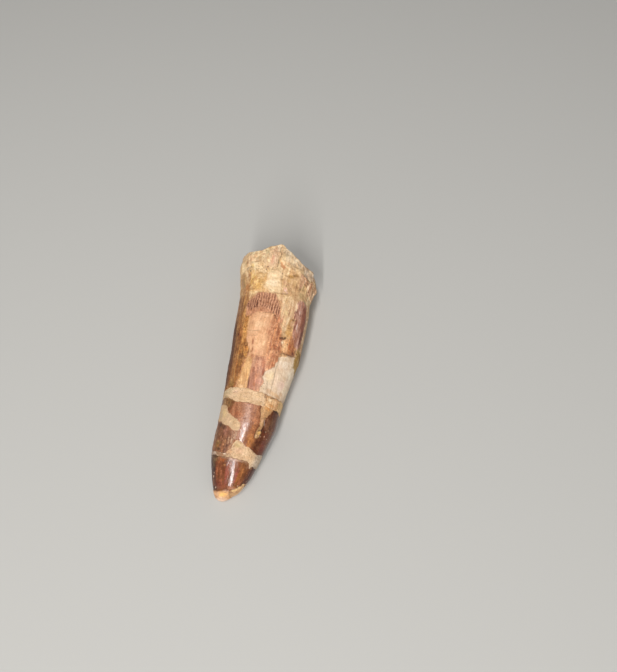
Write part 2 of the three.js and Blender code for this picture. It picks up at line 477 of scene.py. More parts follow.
# Tip fragment
TIP_BASE = patch(
    [], (147, 87, 54), (113, 66, 41), height=0.06, shine=1, fibre=0.5, grain=0, worn=1)
TIP_AREAS = [
    patch([(-150, 1), (-60, 1), (-62, 9.6), (-150, 9.6)], (120, 70, 44), (92, 50, 30), shine=0.55,
          soft=1.4, feather=0.3),
    patch([(-84, 0), (-44, 0), (-40, 3), (-42, 6), (-42, 9.6), (-80, 9.6)], (74, 32, 18),
          (52, 24, 14), soft=1.1, feather=0.3),
    patch([(24, 2), (50, 2.6), (54, 5), (56, 9.4), (24, 9.4), (28, 6)], (148, 94, 50),
          (118, 72, 42), soft=0.7, feather=0.3),
    patch([(58, 2), (110, 2), (110, 9.6), (56, 9.6), (58, 5)], (90, 36, 18), (68, 28, 14),
          soft=0.9, feather=0.2),
    patch([(-60, 8.2), (-20, 8.1), (0, 8.5), (40, 8.2), (40, 9.5), (-60, 9.7)], (152, 112, 82),
          (118, 84, 58), shine=0.75, soft=0.55, ragged=0.8, veil=0.9),
    patch([(-62, 8.7), (-44, 8.9), (-20, 8.6), (6, 8.7), (30, 8.4), (40, 8.5), (40, 9.6),
           (-62, 9.8)], (186, 144, 110), (154, 114, 82), shine=0.4, soft=0.28, ragged=0.9,
          veil=0.8),
    patch([(-60, 8.5), (-34, 8.5), (-30, 9.6), (-60, 9.7)], (98, 68, 42), (80, 56, 38), soft=0.3),
]
TIP_DABS = [
    (-30, 4.8, 0.35, 1.2, (88, 54, 30), 0.45), (-14, 6, 0.45, 1.3, (110, 54, 28)),
    (-22, 5.4, 0.16, 0.9, (190, 118, 84), 0.5), (-25, 3.2, 0.9, 1, (134, 70, 54)),
    (-38, 3, 0.5, 0.9, (104, 52, 40)), (-21, 8.2, 0.7, 0.5, (172, 96, 52), 0.7),
    # The pink dabs at -5 and 24 degrees, 5.4 mm from the tip, are partly the enamel's own
    # red-brown and partly painted fringes of the highlight that runs between them.
    (-15, 7.2, 0.3, 0.25, (184, 136, 86), 0.7), (-5, 5.4, 0.5, 2.6, (166, 88, 70), 0.7),
    (24, 5.4, 0.35, 1.9, (164, 84, 72), 0.75), (31, 5.2, 0.6, 1.3, (160, 96, 44)),
    (41, 4.2, 0.6, 0.9, (156, 88, 56)), (30, 7.2, 0.5, 0.8, (150, 96, 54)),
    # The pinkish-tan dab at 24 degrees, 2.7 mm from the tip, is a painted highlight: the tail of
    # the highlight above the nub.
    (24, 2.7, 1, 0.5, (196, 142, 112)), (-10, 2.6, 0.6, 0.5, (150, 84, 56), 0.5),
    (55, 2.3, 0.5, 0.7, (168, 120, 84)), (-18, 1.6, 0.5, 0.5, (184, 134, 90)),
    (55, 4.1, 0.5, 0.25, (92, 52, 22), 0.8), (-26, 1.95, 1.6, 0.22, (110, 62, 30), 0.8),
    (62, 6.4, 0.14, 0.9, (150, 104, 76), 0.5), (45, 7.6, 0.4, 0.6, (168, 120, 92)),
    (10, 8.6, 1.6, 0.35, (196, 150, 118)), (-47, 6.6, 0.3, 1.2, (52, 28, 20)),
    (68, 7.2, 0.8, 0.6, (84, 42, 26)), (-52, 7.4, 0.7, 1, (96, 70, 38), 0.7),
    (-44, 8.2, 0.5, 0.5, (124, 98, 60), 0.7), (-32, 7.6, 0.3, 0.5, (172, 102, 62)),
    (-6, 7.4, 0.6, 0.9, (158, 92, 70)), (-38, 5.8, 0.3, 0.9, (164, 96, 62)),
    (-28, 7, 0.25, 0.7, (96, 48, 26)), (-18, 3.8, 0.3, 0.8, (176, 104, 70)),
    (36, 6.4, 0.25, 1.2, (186, 118, 66)), (47, 6, 0.3, 1, (104, 58, 32), 0.7),
    (58, 7.8, 0.5, 0.4, (150, 110, 74)), (-57, 3.4, 0.4, 0.8, (150, 100, 70)),
    (18, 3.2, 0.3, 0.6, (190, 116, 84)), (-2, 3.4, 0.4, 0.7, (120, 60, 40), 0.5),
]
WORN_EDGE = patch(
    [(24, 0.8), (60, 0.6), (140, 1), (140, 3.6), (122, 4.8), (110, 5.6), (100, 6.2), (94, 5),
     (80, 4.3), (70, 4.15), (60, 4), (50, 3.2), (40, 2.6), (30, 2.3)], (217, 172, 121),
    (168, 124, 81), height=-0.04, shine=0.3, fibre=0.2, grain=0.35, soft=0.1, ragged=0.35)
NUB = patch(
    [(-180, -1), (180, -1), (180, 2.2), (150, 2.6), (120, 1.2), (60, 1.1), (40, 1.5), (30, 1.75),
     (18, 2), (0, 2), (-20, 1.85), (-40, 1.55), (-90, 2.1), (-130, 2.9), (-180, 2.2)],
    (222, 170, 122), (202, 146, 98), height=0.16, shine=0.4, fibre=0.1, grain=0.1, soft=0.2)

# What is laid over the weathering: pits and pale spots along the worn edge and on the nub
WORN_PITS = [(34, 1.9, 0.5, 0.16), (54, 3.5, 0.4, 0.16), (66, 3.8, 0.3, 0.2), (30, 2.4, 0.8, 0.16),
             (84, 4, 0.4, 0.3)]
WORN_GLINTS = [(38, 2.3), (47, 2.6), (56, 3.2), (65, 4)]
NUB_NOTCHES = [(31, 1.85, 0.25), (40, 1.6, 0.25), (56, 1.35, 0.25), (70, 1.1, 0.3)]
TIP_SPECKS = [(-50, 5.4, 0.22), (-55, 4.6, 0.3), (-45, 2.4, 0.24), (70, 4.9, 0.16),
              (44, 3.4, 0.14)]


def dress_tip(spot):
    """Glossy enamel that is worn through to dentine at the nub and along an edge beside it"""
    skin = skin_of(spot, TIP_BASE)
    lay(skin, spot, TIP_AREAS)
    each(dab, skin, spot, TIP_DABS)
    weather(skin, spot, clouding=1.0, pitting=0.6)
    lay(skin, spot, (WORN_EDGE, NUB))
    dab(skin, spot, 0, 1.25, 1.0, 0.6, (246, 192, 112), 0.85)
    dab(skin, spot, -38, 1.0, 0.8, 0.8, (206, 160, 122), 0.7)
    each(dab, skin, spot, WORN_PITS, (98, 62, 34), 0.75, -0.03)
    for turn, along in WORN_GLINTS:
        dab(skin, spot, turn, along, 0.45, 0.3, (246, 204, 138), 0.8)
    for turn, along, long in NUB_NOTCHES:
        dab(skin, spot, turn, along, 0.35, long, (176, 130, 82), amount=0.5, height=-0.05)
    dab(skin, spot, -12, 2.05, 1.6, 0.16, (122, 72, 36), 0.7)
    dab(skin, spot, 96, 3.0, 0.6, 1.6, (230, 210, 188), 0.8)
    bleached = 0.75 * (1 - ramp(spot.along + 0.2 * spot.middle, 0.3, 0.9))
    skin.tint = dyed(skin.tint, rgb(232, 202, 178), bleached)
    each(speck, skin, spot, TIP_SPECKS, (214, 184, 156))
    speck(skin, spot, 60, 8.7, 0.22, (70, 44, 26))
    enamel_relief(skin, spot)
    rough_relief(skin, spot)
    return skin


# The two bands of filler
FILLER_BASE = patch(
    [], (228, 192, 152), (210, 172, 132), height=0.04, shine=0, fibre=0, grain=1, worn=0.45)
FILLER_AREAS = [
    patch([(58, 7), (150, 7), (150, 12), (58, 12)], (212, 190, 166), (184, 162, 138), soft=0.9),
    patch([(-46, 8.6), (-20, 8.6), (-4, 9.6), (-6, 11.2), (-14, 12), (-24, 10.4), (-46, 10.3)],
          (164, 122, 94), (132, 96, 70), soft=0.7, ragged=0.6, veil=0.85),
    patch([(-150, 8), (-44, 8), (-46, 10.5), (-150, 10.6)], (186, 160, 142), (158, 132, 114),
          soft=0.8),
    patch([(-44, 20), (60, 20), (60, 27), (-44, 27)], (235, 197, 157), (220, 181, 138), soft=1.2),
    patch([(-70, 24), (-40, 23.6), (-34, 25), (-70, 25.6)], (228, 202, 164), (216, 186, 144),
          soft=0.8),
    patch([(31, 21.5), (66, 21.6), (62, 26), (29, 26), (30, 23.4)], (242, 200, 152),
          (210, 158, 108), height=0, fibre=0.5, grain=0.35, worn=0.8, soft=0.4),
    patch([(62, 21.5), (90, 21.8), (88, 25.5), (64, 25.4)], (253, 219, 168), (220, 180, 126),
          fibre=0.4, grain=0.4, soft=0.5),
]
FILLER_DABS = [
    (-12, 10, 0.7, 0.6, (166, 126, 98)), (12, 10.6, 1.2, 1, (236, 190, 154)),
    (5, 11.8, 0.9, 0.8, (216, 188, 134)), (24, 11.4, 0.6, 1, (244, 204, 162), 0.5),
    (-9, 10.2, 0.9, 0.6, (222, 170, 124)), (36, 9.6, 1.6, 0.5, (230, 186, 140), 0.5),
    (-31, 10.1, 0.3, 0.35, (250, 228, 204), 0.9), (-20, 9.5, 0.4, 0.2, (242, 214, 186), 0.8),
    (-48, 9.9, 0.4, 0.2, (236, 212, 186), 0.8), (50, 7.8, 0.5, 0.4, (206, 170, 140)),
    (38, 23.7, 0.6, 0.6, (254, 222, 180), 0.8), (46, 22.5, 1.1, 0.6, (216, 152, 90), 0.8),
    (33, 22.6, 0.4, 0.7, (246, 200, 148)), (54, 23.8, 0.5, 0.5, (240, 196, 152)),
    (27, 24.6, 0.35, 0.7, (172, 124, 84), 0.7), (-30, 24.2, 0.9, 0.5, (230, 188, 158), 0.5),
    (-18, 24.4, 0.8, 0.5, (240, 200, 160), 0.5), (10, 23.9, 1.4, 0.6, (242, 204, 160), 0.5),
    (-10, 22.6, 1.4, 0.4, (226, 186, 138), 0.5), (67, 23.6, 0.8, 0.9, (190, 156, 100)),
    (20, 22.4, 0.7, 0.5, (206, 164, 118), 0.5), (60, 24.6, 0.8, 0.3, (170, 124, 78)),
    (-52, 23.3, 1, 0.4, (196, 164, 122)), (2, 12.4, 0.8, 0.5, (214, 178, 138)),
    (-12, 11.6, 0.3, 0.8, (186, 142, 106), 0.7), (-16, 10.4, 0.5, 0.4, (196, 154, 118), 0.7),
    (30, 11.6, 0.5, 0.4, (196, 158, 112)), (44, 11.2, 0.5, 0.3, (172, 130, 90), 0.7),
    (-38, 9.6, 0.6, 0.3, (150, 112, 80), 0.7), (-26, 9.2, 0.6, 0.25, (164, 118, 84), 0.7),
    (20, 9.2, 0.9, 0.3, (224, 184, 148)), (30, 10.2, 0.7, 0.6, (234, 196, 156), 0.5),
]
UPPER_BAND_FROM = 20  # millimetres from the tip
UPPER_BAND_CRACKS = [
    ([(40, 24.3), (44, 24.5), (48, 24.65)], 0.26, 0.14, 0.6, 0.1),
    ([(28, 24), (27, 25.3)], 0.2, 0.12, 0.5, 0.1),
    ([(31, 22), (33, 23.2), (31, 24.2), (34, 25)], 0.16, 0.1, 0.4, 0.15),
]


def dress_filler(spot):
    """Sand in glue, for both bands: the areas and marks of the other band lie too far away to
    show. Only the upper one is cracked."""
    skin = skin_of(spot, FILLER_BASE)
    lay(skin, spot, FILLER_AREAS)
    each(dab, skin, spot, FILLER_DABS)
    weather(skin, spot, clouding=0.8, pitting=0.7)
    if spot.along.max() > UPPER_BAND_FROM:
        each(crack, skin, spot, UPPER_BAND_CRACKS)
        speck(skin, spot, 23, 22.8, 0.16, (150, 110, 78))
        speck(skin, spot, -33, 24.1, 0.2, (190, 148, 110))
    skin.height += 0.05 * spot.coarse
    rough_relief(skin, spot)
    return skin


# Middle of the crown
MID_BASE = patch(
    [], (160, 102, 70), (124, 74, 48), height=0.07, shine=1, fibre=0.5, grain=0, worn=1)
MID_AREAS = [
    patch([(-60, 12), (-34, 22.5), (34, 22.5), (36, 12)], (172, 112, 78), (146, 92, 60), soft=0.5,
          feather=0.2),
    patch([(10, 12.5), (34, 11.5), (34, 14), (30, 22.2), (13, 22.2)], (176, 118, 80),
          (146, 92, 58), soft=0.7, feather=0.4),
    patch([(-32, 17.6), (-20, 17.2), (-6, 16.6), (18, 17.4), (28, 18), (26, 22.4), (-32, 22.4)],
          (192, 132, 96), (162, 106, 72), shine=0.74, soft=1.2, feather=0.4),
    patch([(34, 10.6), (150, 10.8), (150, 22.6), (52, 22.6), (38, 17)], (120, 70, 42),
          (86, 44, 26), soft=0.5, feather=0.2),
    patch([(-200, 10), (-58, 10), (-54, 13), (-57, 17), (-58, 22.8), (-200, 22.8)], (140, 98, 72),
          (104, 66, 46), soft=0.6, feather=0.3),
]
LEFT_CHIP = patch(
    [(-180, 9.5), (-8, 9.5), (-6, 12), (-8, 15), (-15, 15.1), (-20, 15.3), (-25, 15.7), (-30, 16),
     (-40, 16.3), (-52, 17), (-78, 17.6), (-110, 16.4), (-140, 14.6), (-165, 15)], (168, 116, 80),
    (124, 78, 52), height=-0.04, shine=0.4, fibre=0.5, grain=0.35, soft=0.4, ragged=0.4)
MID_DABS = [
    (58, 18.6, 0.8, 1.6, (130, 94, 60)), (66, 16.2, 0.9, 1.2, (118, 84, 52)),
    (62, 13.6, 0.9, 1, (134, 62, 48)), (70, 12.5, 0.6, 0.8, (128, 58, 44)),
    (54, 15.4, 0.4, 1, (142, 92, 62)), (72, 18.4, 0.6, 1.2, (96, 50, 34)),
    (64, 14.9, 0.14, 0.2, (214, 178, 148), 0.8), (57, 16.8, 0.12, 0.2, (206, 164, 130), 0.8),
    (68, 17.4, 0.14, 0.25, (196, 156, 124), 0.7), (60, 19.8, 0.3, 0.5, (74, 38, 26), 0.7),
    # the chipped left side
    (-46, 11.6, 1, 1.2, (138, 104, 56), 0.8), (-38, 10.5, 0.6, 0.35, (70, 46, 26), 0.8),
    (-18, 11.3, 0.3, 0.6, (96, 56, 34), 0.7), (-36, 11.4, 0.3, 0.4, (88, 54, 30), 0.7),
    (-41, 11.3, 0.35, 0.35, (172, 112, 58), 0.8), (-25, 12.3, 0.35, 0.5, (184, 130, 86), 0.7),
    (-30, 14.6, 0.9, 1.4, (160, 104, 84)), (-23, 13.6, 0.4, 1, (150, 96, 66)),
    (-6, 13.9, 0.4, 1.4, (200, 164, 138), 0.8), (-12, 13.2, 0.3, 1.2, (182, 142, 112)),
    (-16, 14.2, 0.3, 0.8, (136, 86, 60)), (-49, 16.1, 0.9, 0.8, (84, 58, 38), 0.85),
    # The pale dab at -58 degrees, 13.4 mm, along the left edge, is partly dust and partly painted
    # rim light.
    (-38, 15.6, 1, 0.7, (96, 62, 42), 0.7), (-58, 13.4, 0.5, 2.2, (190, 164, 138)),
    (-54, 14, 0.5, 1, (140, 104, 76)), (-46, 13.6, 0.6, 0.6, (124, 82, 52)),
    (-10, 11, 0.5, 0.8, (178, 130, 90), 0.7), (-28, 10.9, 0.4, 0.5, (130, 82, 50)),
    (-33, 12.8, 0.25, 0.4, (196, 150, 108)), (-14, 12, 0.3, 0.5, (120, 72, 44)),
    (-20, 10.4, 0.5, 0.3, (116, 76, 54)), (-50, 10.4, 0.6, 0.25, (96, 70, 44)),
    (-44, 12.4, 0.25, 0.3, (196, 150, 104), 0.7), (-33, 14, 0.2, 0.4, (92, 54, 34), 0.7),
    (-38, 13.2, 0.25, 0.5, (184, 126, 88), 0.7), (-27, 11.6, 0.2, 0.4, (186, 128, 84), 0.7),
    (-22, 12.8, 0.2, 0.4, (104, 62, 40), 0.7), (-48, 14.8, 0.3, 0.5, (170, 122, 88), 0.7),
    (-34, 12, 0.4, 0.3, (112, 82, 44), 0.7), (-17, 12.4, 0.3, 0.8, (190, 150, 116), 0.7),
    (-10, 12.4, 0.5, 1.2, (196, 158, 124), 0.75), (-13, 14.6, 0.6, 0.5, (168, 124, 96), 0.7),
    (-46, 22.3, 0.4, 0.4, (84, 58, 34), 0.8), (-39, 21.5, 0.3, 0.5, (92, 62, 36), 0.8),
    (-53, 22.9, 0.4, 0.3, (96, 72, 44), 0.8), (-51, 21.8, 0.4, 0.3, (206, 166, 112), 0.8),
    (-42, 22.6, 0.4, 0.25, (196, 150, 98), 0.7), (-30, 22.3, 0.5, 0.25, (110, 68, 40), 0.8),
    (-36, 20, 0.2, 0.6, (116, 70, 42), 0.7), (-34, 22.6, 0.3, 0.3, (88, 58, 36), 0.7),
    # the glossy middle; the pale pink dab at 4 degrees, 19.4 mm is a painted highlight veil
    (-33, 20.4, 0.5, 1.4, (132, 78, 46)), (-30, 21.6, 0.7, 0.5, (116, 66, 38), 0.8),
    (-15, 18.9, 0.8, 0.9, (176, 104, 64), 0.7), (-22, 20.4, 0.4, 1.2, (160, 96, 62), 0.5),
    (-8, 21.2, 0.8, 0.8, (178, 126, 96), 0.5), (-4, 17, 0.4, 0.8, (166, 108, 78)),
    (4, 19.4, 0.7, 2.6, (204, 158, 134), 0.55), (23.5, 21, 0.4, 0.9, (136, 82, 50), 0.75),
    (18, 20.6, 0.3, 1, (172, 118, 86), 0.5), (20, 18.2, 0.7, 1.2, (196, 128, 88)),
    (28, 13.4, 0.9, 1.6, (184, 122, 66), 0.7), (14, 16.4, 0.3, 1.6, (160, 100, 72), 0.5),
    (22, 16.2, 0.5, 1.4, (186, 120, 74), 0.5), (18, 13.4, 0.3, 0.7, (150, 92, 60)),
    (38, 12.6, 0.6, 0.7, (140, 92, 52)), (10, 20.8, 0.25, 1, (176, 122, 100), 0.5),
    # the dark right side
    (66, 12.2, 1.2, 0.9, (112, 44, 26), 0.8), (50, 12.4, 0.6, 0.5, (124, 82, 58)),
    (60, 15.6, 1.6, 0.9, (104, 48, 28), 0.7), (52, 19.6, 0.9, 1.2, (112, 66, 40)),
    (62, 21.6, 1.4, 0.35, (66, 34, 14), 0.85), (64, 18.2, 0.8, 0.9, (96, 58, 36)),
    (48, 17.6, 0.3, 1.2, (84, 48, 28)), (70, 13.4, 0.5, 0.2, (164, 112, 84), 0.5),
    (58, 13.9, 1.2, 0.6, (102, 56, 38)), (76, 20, 0.6, 1.6, (80, 50, 38)),
    (44, 14.2, 0.4, 0.8, (126, 78, 50)), (45, 20.1, 0.3, 0.6, (88, 50, 24), 0.7),
    (47, 18, 0.6, 1.6, (150, 106, 78), 0.7), (54, 17.6, 0.5, 1.4, (136, 94, 64)),
    (54.2, 15.2, 0.14, 0.2, (214, 170, 136), 0.8), (52, 16.3, 0.12, 0.2, (222, 186, 150), 0.8),
]
FILLER_STRIP = patch(
    [(-150, 14.4), (-110, 16.4), (-78, 17.6), (-52, 17), (-40, 16.3), (-30, 16), (-25, 15.7),
     (-20, 15.3), (-15, 15.1), (-8, 15), (-3, 15), (-2, 16), (-5, 17), (-10, 17.4), (-15, 17.6),
     (-20, 17.9), (-25, 18.3), (-30, 18.8), (-35, 19.1), (-38, 19.8), (-40, 20.3), (-45, 20.7),
     (-50, 21), (-57, 21.3), (-80, 21.8), (-120, 19.5), (-160, 17.5)], (226, 190, 150),
    (204, 168, 126), height=0.06, shine=0, fibre=0, grain=1, worn=0.45, soft=0.16,
    ragged=0.3)
OLIVE_CORNER = patch(
    [(-64, 21.3), (-50, 21), (-38, 20.3), (-28, 21.3), (-25, 21.9), (-30, 22.4), (-40, 23.1),
     (-64, 23.3)], (194, 146, 92), (130, 92, 54), shine=0.6, soft=0.3, ragged=0.5)
DENTINE_STRIP = patch(
    [(27, 22.6), (26.5, 21), (28, 20), (29, 19), (31, 17.6), (33, 17.2), (36, 17), (39, 17),
     (42, 17.4), (40, 18), (39, 18.7), (40, 19.2), (43, 19.6), (45, 20), (48, 20.5), (50, 21),
     (52, 21.4), (55, 22.6)], (210, 164, 114), (180, 130, 80), height=-0.1, shine=0.2, fibre=0.5,
    grain=0.3, soft=0.1, ragged=0.28)
OCHRE_ISLAND = patch(
    [(32, 14.6), (34, 14.1), (37, 14.1), (41, 14.6), (42.5, 15.3), (40, 16.1), (40, 16.7),
     (38, 17.2), (34, 17), (32, 16.5), (31, 15.6)], (196, 150, 96), (164, 118, 70), height=-0.08,
    shine=0.2, fibre=0.3, grain=0.3, soft=0.1, ragged=0.28)
STRIP_DABS = [
    (33, 20.6, 0.5, 1, (236, 188, 134)), (42, 21.6, 1, 0.6, (220, 156, 90), 0.8),
    (31, 21.6, 0.3, 0.6, (246, 200, 148)), (36, 18.4, 0.35, 0.9, (226, 176, 136), 0.7),
    (38, 17.2, 0.3, 0.4, (196, 146, 104), 0.7), (35, 14.7, 0.3, 0.5, (238, 192, 150), 0.7),
    (39, 15.6, 0.4, 0.5, (226, 178, 98), 0.7), (-50, 19.4, 1, 0.9, (224, 190, 134)),
    (-34, 17.6, 1.2, 0.6, (226, 186, 148), 0.5), (-10, 16.2, 0.8, 0.6, (240, 202, 156)),
    (-44, 18.4, 0.8, 0.8, (232, 196, 140), 0.5), (-56, 18.6, 0.6, 1.2, (200, 176, 148)),
    (28.5, 19, 0.2, 0.5, (140, 84, 46), 0.8), (40.4, 19.3, 0.3, 0.25, (104, 58, 28), 0.85),
    (42.2, 16.5, 0.22, 0.4, (84, 40, 20), 0.9), (37, 16.1, 0.3, 0.14, (112, 68, 36), 0.85),
    (43.2, 15.2, 0.16, 0.3, (92, 52, 28), 0.85), (41.2, 14.4, 0.2, 0.2, (112, 66, 38), 0.8),
    (45, 14.9, 0.14, 0.2, (196, 152, 120), 0.7),
]
MID_CRACKS = [
    ([(26, 21.8), (26.5, 20.7), (27.5, 20), (29, 19)], 0.22, 0.08, 0.45, 0.15),
    ([(30, 17.6), (31, 16.6), (31, 15.5), (32, 14.2)], 0.24, 0.08, 0.5, 0.15),
    ([(35, 15.9), (38, 16.3), (42, 16.2)], 0.22, 0.06, 0.6, 0.1),
    ([(39, 19.1), (40, 18), (42, 17.2), (41, 16.2), (43, 15.2)], 0.24, 0.06, 0.5, 0.15),
    ([(72, 13.6), (78, 13.4), (86, 13.6)], 0.2, 0.05, -0.5, 0.1),
]
MID_SPECKS = [(-28, 12.4, 0.16), (-34, 11, 0.2), (-18, 13.2, 0.14), (-44, 13.8, 0.2),
              (-12, 10.8, 0.2), (-40, 14.6, 0.14)]


def dress_mid(spot):
    """Brown enamel, chipped at the left, with a smear of filler and bare dentine laid over its
    weathering"""
    skin = skin_of(spot, MID_BASE)
    lay(skin, spot, MID_AREAS + [LEFT_CHIP, OLIVE_CORNER])
    each(dab, skin, spot, MID_DABS)
    weather(skin, spot, clouding=0.9, pitting=0.8)
    lay(skin, spot, (FILLER_STRIP, DENTINE_STRIP, OCHRE_ISLAND))
    each(dab, skin, spot, STRIP_DABS)
    each(crack, skin, spot, MID_CRACKS)
    each(speck, skin, spot, MID_SPECKS, (190, 152, 116), 0.6)
    enamel_relief(skin, spot)
    rough_relief(skin, spot)
    return skin


# Base of the crown, and the root
BASE_BASE = patch(
    [], (228, 180, 130), (188, 140, 96), height=0, shine=0.25, fibre=0.7, grain=0.2, worn=1)
CROWN_AREAS = [
    # streaked dentine round the panel
    patch([(-36, 25), (14, 25), (26, 29), (30, 33), (30, 38), (28, 41), (24, 44), (20, 47),
           (0, 46), (-36, 46)], (232, 172, 126), (198, 134, 94), height=0.05, shine=0.4, fibre=0.9,
          grain=0, soft=0.3, feather=0.3),
    # the peach panel
    patch([(-36, 44.8), (-36, 36), (-16, 33.6), (0, 33.2), (5, 34), (6, 38), (6, 43), (8, 44.6),
           (0, 45.6), (-20, 45.6)], (246, 192, 146), (234, 176, 130), height=0.08, shine=0.45,
          fibre=0.35, grain=0, worn=0.3, soft=0.8, ragged=0.3, feather=0.5),
    # the pinkish tongue under it
    patch([(-11, 24.6), (12, 24.6), (20, 27.8), (16, 31), (10, 33.4), (-6, 33.4), (-13, 31)],
          (208, 152, 121), (182, 122, 92), height=0.06, shine=0.5, fibre=0.8, grain=0, worn=0.55,
          soft=0.6, feather=0.3),
    # the enamelled left flank
    patch([(-128, 23), (-40, 23), (-34, 26), (-28, 30), (-25, 33), (-18, 34.6), (-24, 36.4),
           (-29, 38), (-29.5, 42), (-31, 45), (-38, 50), (-45, 51.4), (-64, 50.4), (-76, 52.2),
           (-90, 50.8), (-104, 52.8), (-118, 50.8), (-130, 49), (-140, 40)], (190, 138, 80),
          (136, 88, 48), height=0.06, shine=0.5, fibre=1.1, grain=0.05, worn=1.15, soft=0.3,
          feather=0.4),
    patch([(-92, 25), (-54, 26), (-52, 31), (-53, 38), (-58, 44), (-92, 45)], (76, 32, 16),
          (106, 54, 28), soft=1, feather=0.3, veil=0.85),
    patch([(-96, 44), (-58, 44), (-50, 46), (-50, 50.6), (-96, 51)], (192, 144, 100),
          (160, 112, 74), soft=1, ragged=0.8, feather=0.4, veil=0.8),
    # A pale band along the far left edge: partly a worn keel, partly painted rim light.
    patch([(-92, 34), (-76, 35), (-73, 42), (-71, 52), (-94, 54)], (222, 186, 156),
          (190, 146, 112), soft=0.9, ragged=1.2, feather=0.4, veil=0.65),
    patch([(-39, 36.5), (-30, 37), (-29.5, 41), (-31, 45.5), (-37, 46), (-39, 41)], (222, 160, 88),
          (196, 134, 72), soft=0.45, feather=0.5),
    # the yellow stripe beside the tongue
    patch([(-30, 24.6), (-11, 24.6), (-10.5, 28), (-11, 31), (-13, 33.6), (-19, 33.4), (-23, 30.5),
           (-29, 28)], (242, 192, 136), (218, 168, 110), height=0.04, shine=0.4, fibre=0.6,
          grain=0.1, worn=0.55, soft=0.35, feather=0.4),
    # cream and ochre dentine to the right of the column
    patch([(19, 45), (18, 47.5), (16, 51), (32, 51.4), (42, 50.6), (45, 47.8), (43, 44), (40, 40),
           (29, 40), (25, 42.5)], (255, 230, 188), (244, 204, 158), height=-0.04, shine=0.2,
          fibre=0.7, grain=0.2, worn=0.45, soft=0.4, feather=0.6),
    patch([(30, 39.8), (43, 39.6), (43, 43), (41, 45), (36, 45), (33, 43)], (225, 174, 112),
          (197, 144, 86), soft=0.6, feather=0.6),
    patch([(30, 35.6), (52, 35.8), (60, 36.6), (62, 39.6), (50, 41), (42, 40.6), (31, 39)],
          (236, 174, 120), (194, 130, 84), height=0.04, shine=0.35, fibre=1.1, soft=0.4,
          feather=0.5),
    # the white patch, where the enamel has flaked off
    patch([(18, 27.6), (15, 26), (14, 24), (60, 23), (120, 24), (126, 30), (112, 35.4), (66, 36.2),
           (58, 35.9), (50, 35.7), (44, 35.4), (38, 34.9), (33, 34.6), (30, 34.3), (31, 33.4),
           (27.5, 32.8), (28.5, 31.8), (24, 31.2), (20, 30.8), (17, 30.5), (15, 30.2), (14, 29),
           (12, 28.7)], (244, 218, 188), (228, 198, 164), height=-0.14, shine=0.3, fibre=0.3,
          grain=0.1, worn=0.2, soft=0.13, ragged=0.3),
    patch([(60, 26.5), (126, 26), (116, 35), (62, 35.2)], (250, 230, 202), (224, 196, 164),
          soft=0.9, feather=0.3),
    patch([(62, 38.8), (63, 36.5), (63, 34.8), (70, 33.8), (80, 33), (100, 32.6), (104, 35),
           (84, 38.4), (76, 39.6)], (204, 166, 92), (164, 124, 62), soft=0.35, ragged=0.8),
    # stains on the side that is turned away
    patch([(98, 38), (130, 37), (152, 41), (144, 48), (106, 47)], (214, 168, 108), (178, 130, 80),
          soft=1.3, ragged=1.9, feather=0.6, veil=0.6),
    patch([(104, 49), (140, 48), (160, 53), (140, 58), (108, 57)], (206, 178, 142),
          (178, 146, 110), soft=1.3, ragged=1.9, feather=0.6, veil=0.55),
]
MAROON_CHIP = [
    patch([(46, 51.2), (42, 50), (43.5, 48.6), (41.5, 47.4), (42.5, 45.9), (45.5, 45.2), (43, 44),
           (43.5, 42), (46, 41), (53, 38.8), (62, 37.8), (68, 39.8), (71, 43), (71.5, 46),
           (69, 49), (64, 51.2), (56, 51.6)], (236, 188, 166), (190, 136, 114), height=0.1,
          shine=0.7, fibre=1, grain=0, worn=0.8, soft=0.22, ragged=0.4, feather=0.3),
    patch([(55, 49.6), (58, 46), (61, 42), (60, 39.4), (66, 38.6), (71, 43), (71.5, 46), (69, 49),
           (63, 50.6)], (134, 74, 54), (170, 104, 80), soft=0.4, feather=0.4),
    patch([(72, 38.4), (150, 36), (160, 50), (100, 52), (66, 51.5), (70, 49), (73, 46),
           (72.5, 43)], (243, 207, 166), (213, 173, 130), height=0, shine=0.25, fibre=0.7,
          grain=0.2, soft=0.2, feather=0.3),
]
